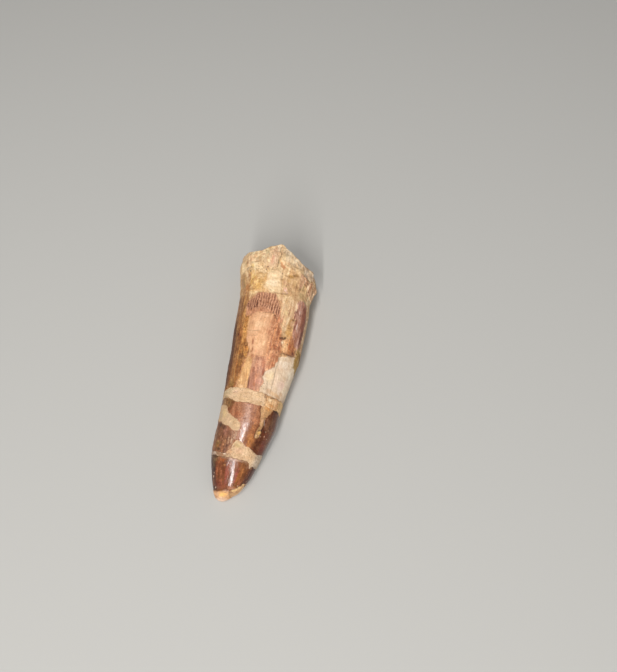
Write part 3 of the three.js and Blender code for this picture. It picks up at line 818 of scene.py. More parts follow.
CROWN_DABS = [
    # the left flank
    (-43, 26.3, 0.9, 1.1, (146, 112, 56), 0.85), (-46, 29, 0.8, 1.4, (140, 84, 42)),
    (-34, 27.6, 0.7, 0.7, (186, 128, 66), 0.7), (-29, 27.8, 0.4, 0.6, (196, 134, 66), 0.8),
    (-27, 28.9, 0.35, 0.3, (178, 122, 58), 0.7), (-31, 31.4, 0.8, 1.2, (168, 116, 54), 0.7),
    (-40, 31.6, 0.5, 1.8, (176, 112, 62), 0.5), (-46, 33.4, 0.35, 1.6, (176, 116, 72), 0.5),
    (-27, 33.6, 0.6, 0.5, (236, 176, 96), 0.8), (-24, 32.9, 0.6, 0.3, (150, 104, 46), 0.7),
    (-33, 33.2, 0.5, 0.4, (146, 112, 56), 0.7), (-38, 34.4, 0.9, 0.8, (190, 122, 58)),
    (-28, 35.4, 0.9, 0.9, (196, 124, 56), 0.75), (-32, 36.6, 0.3, 0.8, (156, 98, 44), 0.7),
    (-38, 38.6, 0.25, 0.5, (146, 90, 42), 0.8), (-36, 40.4, 0.35, 1.4, (226, 166, 92)),
    (-43, 39.6, 1, 2.4, (188, 118, 62)), (-47.5, 39.4, 0.45, 0.7, (112, 46, 20), 0.85),
    (-46, 41.8, 0.3, 1.2, (170, 108, 66)), (-50, 44.6, 0.5, 2, (134, 80, 42)),
    (-41, 44, 0.4, 2.2, (202, 144, 88), 0.7), (-45, 46.4, 0.3, 1.8, (152, 98, 52)),
    (-40, 47.6, 0.35, 0.9, (150, 96, 50)), (-37, 48.4, 0.4, 1, (190, 130, 80)),
    (-33, 43, 0.3, 1.4, (170, 112, 58), 0.5), (-48, 36.2, 0.3, 1.6, (150, 92, 52)),
    (-44, 49.2, 0.8, 0.5, (200, 148, 98)), (-51, 49.4, 0.6, 1, (150, 100, 60)),
    (-36, 29.4, 0.25, 0.9, (120, 72, 34)), (-52, 31.4, 0.4, 1.8, (112, 58, 30)),
    (-33, 34.9, 0.6, 1.6, (214, 154, 82), 0.7), (-44, 31.8, 0.7, 1.6, (150, 98, 58)),
    (-42, 27, 0.8, 1.2, (156, 108, 62)), (-59, 45.4, 0.5, 1.8, (160, 116, 88), 0.7),
    (-37, 29.3, 0.7, 1.4, (144, 94, 52)), (-34, 27.2, 0.6, 0.9, (168, 118, 66)),
    (-46, 46.9, 0.6, 1.2, (150, 104, 66)),
    # the yellow stripe
    (-18, 30.4, 0.7, 1.8, (248, 198, 138), 0.7), (-24, 27.2, 0.6, 0.6, (250, 202, 144), 0.7),
    (-26, 30, 0.5, 0.8, (226, 168, 98)), (-16, 28.4, 0.5, 0.8, (226, 166, 104), 0.5),
    (-13, 26.6, 0.4, 1, (238, 186, 136)), (-22, 25.9, 1, 0.4, (248, 206, 158), 0.7),
    (-22, 31.8, 0.4, 0.8, (236, 184, 120)),
    # the tongue
    (-8, 26.8, 0.35, 1.2, (156, 92, 66), 0.8), (-3, 26.4, 0.3, 0.9, (182, 118, 92)),
    (6, 27.4, 0.9, 0.6, (206, 138, 112), 0.7), (12, 27.4, 0.6, 0.6, (200, 144, 118), 0.7),
    (4, 25.8, 0.6, 0.5, (218, 162, 138)), (-8, 29.8, 0.35, 1.4, (200, 132, 94)),
    (-2, 30.8, 0.5, 2, (238, 172, 136), 0.7), (3, 28.6, 0.4, 0.9, (240, 170, 130)),
    (12, 29.9, 0.35, 1, (168, 92, 56), 0.8), (9, 32, 0.5, 1.2, (196, 118, 76), 0.7),
    (-5, 33, 0.8, 0.3, (206, 160, 122)), (7, 25.6, 0.3, 0.6, (176, 122, 92)),
    (17, 31.4, 0.8, 0.5, (206, 132, 90)), (23, 32.2, 0.8, 0.8, (214, 142, 96)),
    # the panel
    (-17.5, 37.2, 0.3, 1.1, (168, 100, 64), 0.85), (-15, 35, 0.28, 1.1, (176, 108, 68), 0.8),
    (-12, 33.6, 0.5, 0.5, (184, 116, 84), 0.7), (-22, 42.4, 0.22, 0.7, (176, 118, 78), 0.7),
    (-10, 43.4, 0.3, 0.5, (214, 156, 114)), (-1, 42.5, 0.3, 0.5, (218, 160, 118)),
    (-22, 39.4, 1.1, 0.8, (226, 178, 136)), (-10, 41.8, 1.6, 1, (250, 206, 160)),
    (-5, 37, 1.4, 2, (255, 202, 154)), (-24, 37.4, 0.6, 1.2, (232, 172, 122)),
    (-26, 43.6, 0.6, 1.2, (226, 164, 114)), (-4, 44.4, 1.2, 0.7, (252, 202, 160)),
    (3, 40.4, 0.2, 1.4, (222, 154, 112)), (6, 43, 0.3, 1, (226, 152, 112)),
    (-13, 44.4, 0.8, 0.6, (236, 182, 138), 0.5), (-27, 40.8, 0.3, 1.2, (222, 166, 116), 0.5),
    (0, 34.6, 0.7, 0.6, (234, 172, 130)), (-9, 34.6, 0.5, 0.8, (238, 172, 132)),
    (-26, 40.9, 0.7, 2, (220, 166, 120), 0.7), (-6, 31.9, 0.6, 1.3, (232, 180, 142), 0.7),
    (-13, 33.4, 0.9, 0.9, (194, 134, 94)), (-24, 41.9, 1, 1.2, (210, 154, 108)),
    (3, 31.7, 0.7, 1.2, (242, 180, 140)),
    # the streaked column
    (14.5, 42.7, 0.4, 1.3, (238, 174, 132)), (18, 37.5, 0.5, 1.2, (228, 168, 124)),
    (18, 48.3, 0.5, 0.8, (230, 178, 134)), (6, 40, 0.18, 0.8, (190, 116, 76), 0.7),
    (11, 37, 0.2, 0.7, (182, 108, 66), 0.8), (14, 36.3, 0.25, 0.6, (200, 122, 78), 0.7),
    (16.5, 36.9, 0.2, 0.6, (150, 80, 42), 0.9), (20, 36.4, 0.25, 0.9, (180, 102, 60), 0.8),
    (26, 36.5, 0.25, 0.9, (158, 84, 46), 0.85), (23, 37.8, 0.2, 1, (236, 168, 124)),
    (21, 40.2, 0.2, 0.8, (168, 100, 62), 0.8), (15, 41.4, 0.2, 1, (188, 118, 78), 0.7),
    (17, 44.2, 0.3, 1.4, (192, 116, 78), 0.8), (12, 43, 0.25, 1.2, (246, 186, 144), 0.7),
    (22, 43.6, 0.3, 1, (196, 124, 82), 0.7), (19.5, 43.4, 0.2, 0.9, (250, 190, 148), 0.7),
    (12, 39.2, 0.3, 0.9, (196, 126, 84)), (18, 38.6, 0.25, 0.8, (234, 164, 122)),
    (9, 41.6, 0.2, 0.9, (228, 158, 116)), (24, 41, 0.2, 0.9, (222, 152, 110)),
    (19, 34.2, 0.9, 0.8, (206, 132, 90)), (10, 35, 0.3, 0.8, (190, 118, 76)),
    (26, 34, 0.4, 0.9, (186, 122, 78)), (13, 33.4, 0.3, 0.9, (216, 140, 98)),
    (19, 40.8, 0.15, 0.7, (160, 96, 60), 0.7),
    # the left leg of the comb's arch
    (-28, 44.6, 0.4, 0.7, (168, 106, 68), 0.8), (-25, 45, 0.7, 0.35, (188, 124, 84), 0.7),
    (-32, 45.6, 0.5, 0.9, (184, 122, 80), 0.7), (-35, 47, 0.5, 1, (190, 128, 86), 0.7),
    # cream and ochre on the right
    (26, 46.4, 0.8, 1.1, (255, 224, 170), 0.85), (27, 43.4, 0.5, 1.2, (254, 210, 162), 0.8),
    (22, 44.4, 0.3, 1.2, (248, 186, 146), 0.7), (33, 46.6, 0.3, 1.4, (216, 168, 118)),
    (38, 48.4, 0.5, 1.2, (248, 206, 166), 0.7), (31, 49, 0.4, 1.2, (230, 184, 138)),
    (24, 49.4, 0.6, 1, (222, 178, 126)), (40, 45, 0.25, 0.8, (140, 96, 56), 0.7),
    (43.5, 47.6, 0.22, 0.4, (104, 62, 40), 0.85), (42, 45.3, 0.25, 0.6, (120, 80, 50), 0.7),
    (36, 41.2, 0.8, 0.8, (220, 166, 98), 0.8), (40, 42.8, 0.35, 0.9, (160, 116, 64)),
    (36, 43.6, 0.3, 0.8, (226, 184, 128)), (31, 41, 0.3, 0.6, (178, 130, 76)),
    (29, 38.2, 0.25, 0.8, (252, 220, 180), 0.8), (34, 37.6, 0.6, 1, (226, 178, 130), 0.7),
    (38.5, 38.2, 0.16, 0.3, (104, 60, 30), 0.9), (44, 38, 0.6, 0.9, (190, 112, 70), 0.7),
    (50, 37.4, 0.5, 0.8, (172, 100, 64), 0.7), (55, 36.6, 0.7, 0.6, (112, 58, 42), 0.85),
    (48, 38.8, 0.5, 0.6, (206, 136, 102), 0.5), (38, 36.6, 0.5, 0.5, (222, 166, 118)),
    (36, 35.7, 1, 0.3, (150, 100, 60), 0.8), (45, 35.8, 0.8, 0.25, (124, 80, 48), 0.8),
    (66, 37.6, 0.7, 0.7, (186, 144, 84)), (64, 37.1, 0.4, 0.25, (104, 72, 32), 0.8),
    (63, 36.1, 0.4, 0.2, (84, 54, 32), 0.8), (58, 37.3, 0.4, 0.7, (150, 104, 66), 0.7),
    (47, 39.7, 0.5, 0.8, (206, 150, 118), 0.7), (35, 47.8, 0.6, 1, (252, 210, 168), 0.7),
    (48, 45.8, 0.4, 0.8, (228, 180, 152), 0.7), (40, 44, 0.6, 1, (224, 178, 138), 0.7),
    (37, 46.2, 0.5, 1, (236, 194, 154)), (53.5, 36, 0.9, 0.6, (144, 100, 76)),
    (72, 39.5, 0.5, 1.2, (158, 108, 66)),
    # the white patch
    (28, 29.6, 0.8, 1.2, (253, 226, 182), 0.8), (21, 29.2, 0.7, 0.9, (248, 218, 172), 0.7),
    (25, 28.2, 0.7, 0.7, (240, 210, 166)), (38, 29, 0.6, 1.6, (250, 218, 188), 0.7),
    (46, 33, 1.4, 1.4, (252, 232, 208), 0.7), (56, 28.4, 1.2, 1.3, (236, 198, 174), 0.7),
    (37, 32, 0.5, 1.2, (244, 212, 184)), (34, 25.8, 0.7, 0.7, (222, 178, 136), 0.7),
    (44, 25.4, 1.4, 0.6, (232, 190, 142), 0.7), (55, 25.2, 1, 0.6, (210, 160, 110), 0.7),
    (61, 26.2, 0.8, 0.5, (204, 154, 108)), (22, 26.2, 0.9, 0.8, (206, 174, 138)),
    (29, 25.6, 0.4, 0.8, (190, 146, 108)), (66, 29.6, 0.8, 0.8, (248, 224, 196)),
    (62, 32.6, 0.5, 0.8, (236, 210, 178)), (32, 30.4, 0.2, 1.6, (206, 174, 140)),
    (72, 35.6, 0.6, 0.9, (162, 124, 58), 0.8), (66, 33.6, 0.5, 0.3, (190, 160, 110), 0.8),
    (80, 36.4, 0.6, 1, (206, 180, 130), 0.7), (67, 38.2, 0.4, 0.5, (214, 188, 132), 0.7),
    (69, 34.2, 0.25, 0.4, (126, 92, 44), 0.8), (50, 28, 1.2, 1.6, (238, 204, 184), 0.5),
    (68, 27.6, 0.8, 0.6, (244, 218, 178), 0.5),
    # the maroon chip; its near-white dabs at the left are painted glints
    (49.5, 43.8, 0.35, 1, (255, 224, 210), 0.85), (45.6, 45.3, 0.2, 0.3, (96, 56, 42), 0.85),
    (50, 47.8, 0.35, 0.8, (250, 214, 198), 0.8), (46.4, 46.6, 0.35, 0.6, (255, 222, 202), 0.8),
    (53, 46.4, 0.2, 1, (222, 176, 156), 0.7), (51.5, 43, 0.3, 0.6, (255, 226, 212), 0.8),
    (44.6, 48, 0.18, 0.5, (112, 70, 50), 0.8), (56.5, 48.4, 0.2, 0.9, (206, 160, 140)),
    (47.6, 42.6, 0.3, 0.5, (222, 172, 146), 0.7), (68.6, 43.8, 0.2, 0.5, (70, 38, 26), 0.85),
    (66.5, 41.6, 0.2, 0.8, (80, 46, 32), 0.8), (55, 44, 0.15, 1.2, (150, 98, 80), 0.7),
    (58.4, 44.4, 0.2, 1.2, (128, 76, 60), 0.7), (63.5, 47.4, 0.2, 1, (168, 112, 92)),
    (52.6, 41, 0.4, 0.5, (214, 150, 118), 0.7), (47, 39.6, 0.5, 0.5, (196, 124, 82), 0.7),
    (47, 46.8, 0.35, 0.9, (214, 164, 140), 0.7), (54, 44.6, 0.5, 1.4, (190, 132, 108)),
    (52, 47.2, 0.3, 0.9, (176, 116, 94)), (57, 47.4, 0.5, 1.2, (150, 92, 74)),
    (50, 41.8, 0.5, 1, (206, 148, 122), 0.7), (57, 41.4, 0.6, 1.4, (182, 118, 92)),
    (48, 49.9, 0.6, 0.6, (206, 150, 126), 0.7), (54, 50.2, 0.6, 0.5, (176, 116, 92), 0.7),
    (59.5, 50, 0.2, 0.6, (104, 62, 44), 0.8), (44.5, 43.4, 0.2, 0.8, (126, 80, 56), 0.7),
    (66, 42, 0.35, 1.8, (72, 38, 24), 0.8), (69, 46.6, 0.3, 1, (80, 44, 24), 0.8),
    (62, 45, 0.6, 1.6, (134, 82, 62)), (66.5, 43.2, 0.3, 0.3, (56, 28, 18), 0.9),
    (67, 40.4, 0.4, 0.5, (84, 46, 30), 0.8), (53, 40, 0.5, 0.7, (196, 130, 100)),
    (60, 42.8, 0.25, 1.2, (148, 88, 64)), (76, 47, 0.5, 1.4, (226, 188, 160)),
]

# The comb: its outline, where its grooves end towards the tip, how far apart they are, and the
# distance from the tip at which they are that far apart
COMB = [(-41.8, 47), (-38, 48.4), (-33.5, 49.4), (-28.2, 50.2), (-24, 50.9), (-15, 51.2),
        (-5.2, 51.2), (2, 51.2), (6.5, 50.8), (9.5, 50.1), (12, 49.2), (14.5, 48), (17, 47.2),
        (18.4, 45.6), (16, 44.4), (12.2, 44.6), (7.5, 45.6), (3.2, 45.5), (-5.5, 45.4),
        (-16.2, 45.3), (-23.5, 45.2), (-28.8, 44.6), (-32.5, 44), (-38.5, 44.4), (-40.5, 45.6)]
COMB_FOOT = through([(-42, 45.4), (-34, 46), (-21, 46.4), (-12.5, 46.8), (-3, 46.5), (5, 45.6),
                     (12, 44.6), (17, 44.2)])
COMB_PITCH = 0.6
COMB_MIDDLE = 48.0

ROOT_AREAS = [
    patch([(-200, 50.8), (-45, 51.2), (-30, 50.4), (-8, 51.2), (8, 50), (20, 49.6), (45, 51.4),
           (70, 51), (200, 50.4), (200, 70), (-200, 70)], (255, 224, 176), (238, 198, 148),
          height=0, shine=0.12, fibre=0.5, grain=0.3, worn=0.5, soft=0.7, ragged=0.9),
    patch([(-44, 50.9), (-12, 51.2), (-10, 54), (-8, 56.6), (-20, 57.2), (-40, 57.4), (-44, 54)],
          (252, 212, 152), (226, 174, 108), soft=1.1, ragged=1.9, veil=0.9),
    patch([(-70, 50.6), (-42, 51), (-40, 54), (-44, 57.4), (-70, 57)], (216, 168, 114),
          (188, 140, 92), soft=1.5, ragged=1.9, veil=0.85),
    # the cream patch
    patch([(-6.2, 57.5), (0, 57.7), (6.5, 57.9), (9, 57.6), (11, 56.8), (11.9, 56.1), (11.5, 55.6),
           (12.6, 54.4), (14.8, 51.9), (12, 51.4), (5, 51.5), (1.8, 51.6), (-3.8, 52), (-8, 52.4),
           (-13, 52.5), (-13.5, 53.4), (-11.8, 54), (-9.5, 55.1), (-11, 56.2), (-8, 57)],
          (255, 223, 178), (249, 211, 162), height=0.07, shine=0.3, fibre=0.15, grain=0.1,
          worn=0.25, soft=0.11, ragged=0.35),
    patch([(13, 50.4), (44, 51.8), (62, 52), (60, 57), (46, 58.4), (20, 58.4), (12, 56), (14, 53)],
          (244, 204, 153), (208, 164, 115), soft=0.6, ragged=1),
    # the pale lump at the right, and the lines under it
    patch([(41, 61), (44.2, 58.8), (50, 58.2), (62, 58.6), (70, 59.4), (90, 60.4), (112, 60.4),
           (112, 63), (40, 63.4)], (234, 208, 176), (198, 168, 138), height=-0.1, soft=0.16,
          ragged=0.5),
    patch([(46, 58.2), (48, 56.4), (60, 55.2), (74, 53.8), (96, 54.6), (98, 58.6), (66, 58.2),
           (52, 57.6)], (255, 215, 173), (221, 177, 137), height=0.1, fibre=1.2, soft=0.2,
          ragged=0.5),
    # the darker facet beside the seam
    patch([(5.6, 60.9), (8, 61), (13.6, 59.1), (11.5, 58.5), (6.5, 59.3)], (233, 171, 119),
          (211, 149, 101), height=-0.12, soft=0.13, ragged=0.35),
    # the pink zone left of the seam, and the greyish one right of it
    patch([(-13, 58.8), (-4, 58.8), (1.5, 60), (2, 62), (0, 65), (-9, 64.6), (-10, 62)],
          (255, 220, 182), (246, 200, 160), soft=0.7, ragged=1, veil=0.8),
    patch([(13, 61.4), (34, 59.6), (42, 60.8), (38, 62.6), (26, 63.4), (14, 66), (7, 66), (8, 63)],
          (246, 218, 182), (226, 196, 158), soft=0.7, ragged=0.9, veil=0.85),
    patch([(37, 58.8), (46, 58.2), (48.5, 55.2), (43, 54.4), (38, 56.6)], (216, 171, 140),
          (190, 144, 114), soft=0.5, ragged=0.7, veil=0.8),
]
ROOT_DABS = [
    # the yellow left side
    (-36, 54.4, 0.6, 1.4, (236, 178, 92), 0.8), (-24, 53, 1.4, 1.1, (248, 196, 116), 0.7),
    (-46, 53, 0.9, 1.4, (184, 118, 62), 0.8), (-43, 56.4, 0.8, 0.9, (188, 132, 92), 0.7),
    (-37, 54.6, 0.2, 0.3, (166, 112, 44), 0.8), (-38, 56.8, 0.3, 0.5, (216, 158, 80), 0.7),
    (-33, 53.2, 0.2, 0.2, (252, 222, 150), 0.8), (-30, 55.2, 0.6, 0.9, (222, 166, 94)),
    (-20, 55.8, 1.2, 0.9, (252, 216, 160), 0.7), (-16, 55.6, 0.2, 0.3, (176, 122, 70), 0.7),
    (-13, 53.2, 0.2, 0.5, (196, 142, 84)), (-40, 52, 0.9, 0.6, (214, 152, 84), 0.7),
    (-24, 51.8, 1.4, 0.4, (238, 182, 118)), (-56, 55, 0.7, 2.4, (168, 142, 98), 0.7),
    (-54, 52, 0.6, 1.2, (186, 134, 84)), (-27, 56.8, 0.3, 0.4, (204, 150, 90)),
    (-47, 51.4, 0.6, 0.4, (170, 108, 58), 0.7), (-43, 50, 0.5, 0.9, (214, 160, 108), 0.7),
    (-34, 57.4, 0.4, 0.5, (232, 184, 110)), (-18, 54.2, 0.3, 0.4, (212, 156, 90), 0.5),
    (-29, 53.4, 0.25, 0.25, (196, 138, 72)), (-22, 57, 0.8, 0.3, (214, 176, 130)),
    (-35, 53.2, 0.3, 0.25, (255, 226, 140), 0.8), (-26, 54.6, 0.3, 0.3, (255, 228, 150), 0.8),
    (-28, 52.6, 0.4, 0.2, (180, 124, 58), 0.7), (-38, 53.4, 0.25, 0.4, (160, 104, 48), 0.7),
    (-31, 56.2, 0.3, 0.25, (255, 230, 160), 0.7), (-23, 54.2, 0.25, 0.3, (186, 134, 68), 0.7),
    (-17, 53.2, 0.4, 0.25, (255, 224, 168), 0.7), (-41, 54, 0.3, 0.5, (226, 172, 102), 0.7),
    (-36, 56.2, 0.35, 0.3, (250, 210, 130), 0.7), (-20, 53.3, 0.2, 0.25, (170, 120, 62), 0.7),
    (-63, 55.1, 0.6, 1.6, (170, 136, 112), 0.7), (-51, 52.5, 0.6, 1.2, (182, 130, 88)),
    (-38, 61.5, 0.7, 0.9, (232, 184, 138), 0.7), (33, 57.3, 0.6, 0.9, (194, 148, 102), 0.7),
    (34, 61.3, 0.6, 0.7, (206, 180, 150)), (-57, 57.2, 0.9, 1.2, (172, 136, 96), 0.7),
    (-25, 60.7, 0.8, 0.7, (252, 212, 170), 0.7), (8.5, 64.1, 0.9, 0.9, (242, 210, 174), 0.7),
    (55, 57, 0.9, 0.8, (174, 134, 102)),
    # round the cream patch
    (-4, 57.2, 1, 0.4, (226, 196, 148), 0.7), (-10, 52.6, 0.6, 0.6, (226, 186, 134)),
    (3, 55.4, 1, 0.4, (238, 202, 154), 0.5), (-6, 54.6, 0.6, 0.8, (250, 214, 164), 0.5),
    (10.5, 57.1, 0.22, 0.4, (104, 74, 48), 0.85), (11, 56.3, 0.25, 0.4, (160, 118, 80), 0.7),
    (20, 53, 0.6, 0.7, (244, 190, 156), 0.8), (20.5, 54, 0.25, 0.25, (124, 82, 58), 0.85),
    (22, 54.4, 0.5, 0.4, (184, 132, 94), 0.7), (17, 54.8, 0.6, 0.9, (208, 156, 116), 0.7),
    (23.5, 52.2, 0.25, 0.5, (240, 194, 158), 0.7), (17, 51.9, 0.3, 0.5, (252, 208, 172), 0.7),
    (5, 51.2, 1.6, 0.3, (206, 154, 112)), (20, 51.5, 0.6, 0.2, (184, 134, 98), 0.7),
    (-8, 51.7, 0.8, 0.4, (246, 200, 156), 0.7), (15, 50, 0.8, 0.9, (236, 188, 146)),
    # the tan right side
    (28, 57.4, 0.5, 0.45, (116, 80, 36), 0.9), (24, 56.9, 1, 0.6, (204, 154, 86), 0.8),
    (31, 57.8, 0.6, 0.5, (176, 130, 74), 0.7), (22, 55.6, 0.7, 0.7, (228, 182, 122), 0.7),
    (32, 55, 0.6, 1.4, (220, 174, 118)), (36, 54.4, 0.2, 1.6, (170, 124, 78)),
    (44, 54.4, 0.3, 0.6, (136, 102, 58), 0.7), (42, 56.4, 0.4, 1.4, (206, 164, 120)),
    (50, 55.4, 0.35, 1.6, (168, 142, 92)), (38, 52.6, 1, 0.9, (222, 182, 134)),
    (50, 52.8, 1, 1, (196, 164, 112)), (56, 54.6, 0.5, 1.4, (196, 170, 124), 0.5),
    (62, 56.6, 0.8, 0.8, (206, 142, 104), 0.7), (54, 57.4, 0.6, 0.5, (190, 138, 100), 0.7),
    (53, 58.1, 0.3, 0.16, (88, 58, 40), 0.85), (57, 58.1, 0.2, 0.14, (92, 62, 42), 0.85),
    (48, 56.4, 0.2, 0.2, (124, 90, 56), 0.8), (53, 56.2, 0.25, 0.25, (110, 76, 50), 0.8),
    (66, 54.8, 0.4, 1.2, (222, 176, 146), 0.7), (67, 53.8, 0.5, 0.3, (134, 98, 70), 0.8),
    (74, 53.4, 0.4, 0.3, (128, 96, 74), 0.7), (60, 54.4, 0.3, 0.8, (204, 152, 120)),
    (58, 51.9, 0.8, 0.6, (176, 150, 104)), (70, 56.4, 0.6, 0.8, (222, 176, 134)),
    (46, 57.6, 0.3, 0.5, (196, 150, 108)), (30, 52, 0.6, 0.7, (230, 186, 136)),
    # over the row of specks
    # The pale cream dab at 0 degrees, 60.6 mm is partly pale dentine and partly a painted
    # highlight.
    (-6, 60.6, 0.45, 1.4, (238, 178, 146), 0.7), (0, 60.6, 0.4, 1.4, (252, 216, 174), 0.8),
    (-16, 60.4, 0.8, 0.8, (252, 218, 174), 0.7), (-5, 62, 0.4, 0.8, (248, 184, 152), 0.7),
    (-37, 59.2, 0.6, 1, (242, 200, 132), 0.8), (-47, 60.6, 0.5, 0.9, (168, 120, 84), 0.7),
    (-42, 61.6, 0.5, 1.6, (206, 156, 116)), (-60, 63.2, 1, 1.8, (246, 210, 172), 0.7),
    (-34, 62.4, 0.6, 1.2, (222, 168, 120)), (-24, 61.6, 0.2, 0.6, (196, 138, 100)),
    (-26, 63.6, 0.6, 1, (226, 176, 128)), (-15, 63.8, 0.7, 1.2, (226, 200, 152), 0.7),
    (-4, 64.6, 0.6, 1.4, (248, 202, 164)), (2, 65.4, 1, 0.9, (246, 216, 180)),
    (10, 63, 0.5, 1.6, (240, 206, 154), 0.7), (5, 61.4, 0.4, 1, (250, 208, 150), 0.7),
    (11.5, 60.6, 0.4, 0.5, (255, 206, 160), 0.8), (19.5, 59.3, 0.9, 0.25, (254, 208, 166), 0.8),
    (1.5, 56.9, 2, 0.4, (238, 206, 162)), (1, 54.2, 1.7, 1.2, (255, 230, 194)),
    (-33, 55.6, 0.3, 0.3, (255, 224, 120), 0.8), (-34.6, 55, 0.2, 0.4, (122, 86, 30), 0.8),
    (-31, 54, 0.25, 0.25, (254, 222, 140), 0.8), (-20, 54.6, 0.7, 0.5, (206, 164, 96), 0.7),
    (-16, 54.3, 0.4, 0.6, (196, 150, 88)), (-26, 57.2, 0.5, 0.4, (252, 220, 166), 0.7),
    (-40, 55.4, 0.4, 0.5, (176, 120, 66), 0.7), (-23, 56, 0.3, 0.5, (252, 218, 160), 0.7),
    (-30, 52.2, 1.2, 0.4, (226, 172, 100), 0.7), (-8, 53.2, 0.5, 0.5, (255, 224, 176), 0.7),
    (31, 57.5, 1, 0.22, (150, 112, 62), 0.8), (45.2, 54.5, 0.3, 0.5, (150, 118, 70), 0.7),
    (19.8, 52.5, 0.3, 0.4, (255, 216, 196), 0.8), (22.6, 52, 0.3, 0.3, (255, 210, 186), 0.8),
    (59.5, 61.4, 0.5, 0.6, (244, 226, 200), 0.7), (66, 60.6, 0.4, 0.4, (236, 216, 188), 0.7),
    (50, 60.8, 0.4, 0.7, (214, 188, 158), 0.7), (61, 59.4, 0.5, 0.3, (166, 138, 112), 0.7),
    (60.5, 57.4, 0.5, 0.4, (214, 150, 118), 0.7), (76, 56.6, 0.8, 1, (206, 172, 130), 0.7),
    (14, 62.8, 0.5, 0.9, (212, 184, 142), 0.7), (28, 62, 0.8, 0.5, (236, 214, 180), 0.7),
    (-21, 62.8, 0.5, 0.5, (206, 150, 112), 0.7), (-30, 60.4, 0.8, 0.5, (214, 156, 110)),
    (-12, 62.6, 0.5, 0.9, (240, 206, 162), 0.7), (-50, 60.2, 0.6, 0.8, (196, 168, 120)),
    (18, 60.6, 0.5, 0.9, (216, 160, 116)), (22, 61.8, 0.8, 1.2, (226, 194, 150)),
    (30, 60.2, 0.7, 1, (230, 188, 136)), (31, 58.8, 0.3, 0.5, (176, 130, 82)),
    (38, 59.6, 0.5, 1.2, (216, 178, 130)), (43, 60.2, 0.2, 1.2, (160, 128, 92), 0.7),
    (48, 60.4, 0.5, 0.9, (190, 174, 152), 0.7), (56, 60.6, 0.8, 0.9, (230, 206, 168), 0.7),
    (24, 59.2, 0.5, 0.5, (240, 192, 144)), (36, 61.4, 0.3, 0.6, (196, 160, 118)),
    (-45, 58.6, 0.9, 0.5, (176, 150, 124), 0.5), (-50, 62.6, 0.5, 1.2, (234, 192, 150)),
    (64, 60.6, 0.4, 0.8, (196, 176, 156)), (8, 65, 0.5, 0.8, (232, 204, 160), 0.5),
]

# Bumps and hollows of the root: place, half width, half length and height
ROOT_SWELLS = [
    (62, 61.2, 2.2, 1.1, 0.45), (90, 60.2, 1.6, 0.8, 0.3), (78, 59.3, 2.4, 0.45, -0.55),
    (92, 58.2, 2.6, 1.4, 0.35), (50, 59.4, 1, 1.2, -0.3), (52, 57.2, 1.6, 0.6, -0.15),
    (12, 62.6, 1.6, 2.2, 0.25), (-6, 62.4, 1.4, 2, 0.2), (4, 62.4, 0.5, 2.6, -0.2),
    (26, 60.8, 1.5, 1.4, -0.2), (34, 59.4, 1.2, 1, 0.2), (22, 57, 1.4, 0.9, -0.15),
    (-28, 62.4, 1.8, 1.4, -0.2), (-44, 62.6, 1.6, 1.2, 0.3), (-40, 59.2, 1.4, 0.9, -0.15),
    (-26, 59.8, 2, 0.9, 0.15), (-30, 54.6, 1.6, 1.4, 0.12), (38, 54.4, 1.2, 2, 0.15),
    (-50, 56.4, 1.2, 1.4, -0.2), (18, 54.2, 0.8, 0.9, -0.12), (-62, 60.6, 1.6, 1.6, 0.2),
]


def comb(skin, spot):
    """A field of parallel grooves along the tooth, whose depth follows a cosine of the distance
    round it, over a smooth band. To the right of the top they are stronger, less broken and
    slanted."""
    reach = inward(spot, COMB) + 0.3 * spot.middle + 0.12 * spot.fine
    share = 0.94 * ramp(reach, -0.16, 0.26)
    right = ramp(spot.turn, -8, 5)
    across = np.radians(spot.turn) * radius_at(COMB_MIDDLE)
    across = across - 0.08 * right * (spot.along - COMB_MIDDLE)
    across = across + 0.2 * spot.middle + 0.14 * spot.coarse
    wave = np.cos(2 * np.pi * across / COMB_PITCH)
    cut = ramp(spot.along - COMB_FOOT(spot.turn) + 0.5 * spot.middle, -0.2, 0.7)
    cut = cut * ramp(reach, 0.0, 0.4) * np.clip(0.85 + 0.8 * spot.coarse, 0.3, 1.1)
    broken = np.clip(0.75 + 0.8 * spot.middle + 0.5 * right, 0.2, 1)
    groove = ramp(wave + 0.5 * spot.fine, 0.0, 0.9) * cut * broken
    ridge = ramp(-wave + 0.4 * spot.fine + 0.3 * spot.middle, 0.3, 1.0) * cut
    ridge = ridge * (0.45 + 0.55 * right)
    colour = dyed(rgb(212, 152, 114), rgb(190, 132, 100), cut)
    colour = dyed(colour, rgb(250, 196, 158), ridge)
    # Painted shade: the grooves are coloured dark where shade falls in them.
    colour = dyed(colour, rgb(104, 56, 36), 0.9 * groove)
    skin.tint = dyed(skin.tint, colour, share)
    skin.height = blend(skin.height, 0.07 - 0.17 * groove + 0.04 * ridge, share)
    skin.shine = blend(skin.shine, 0.4, share)
    skin.fibre = blend(skin.fibre, 0.5, share)


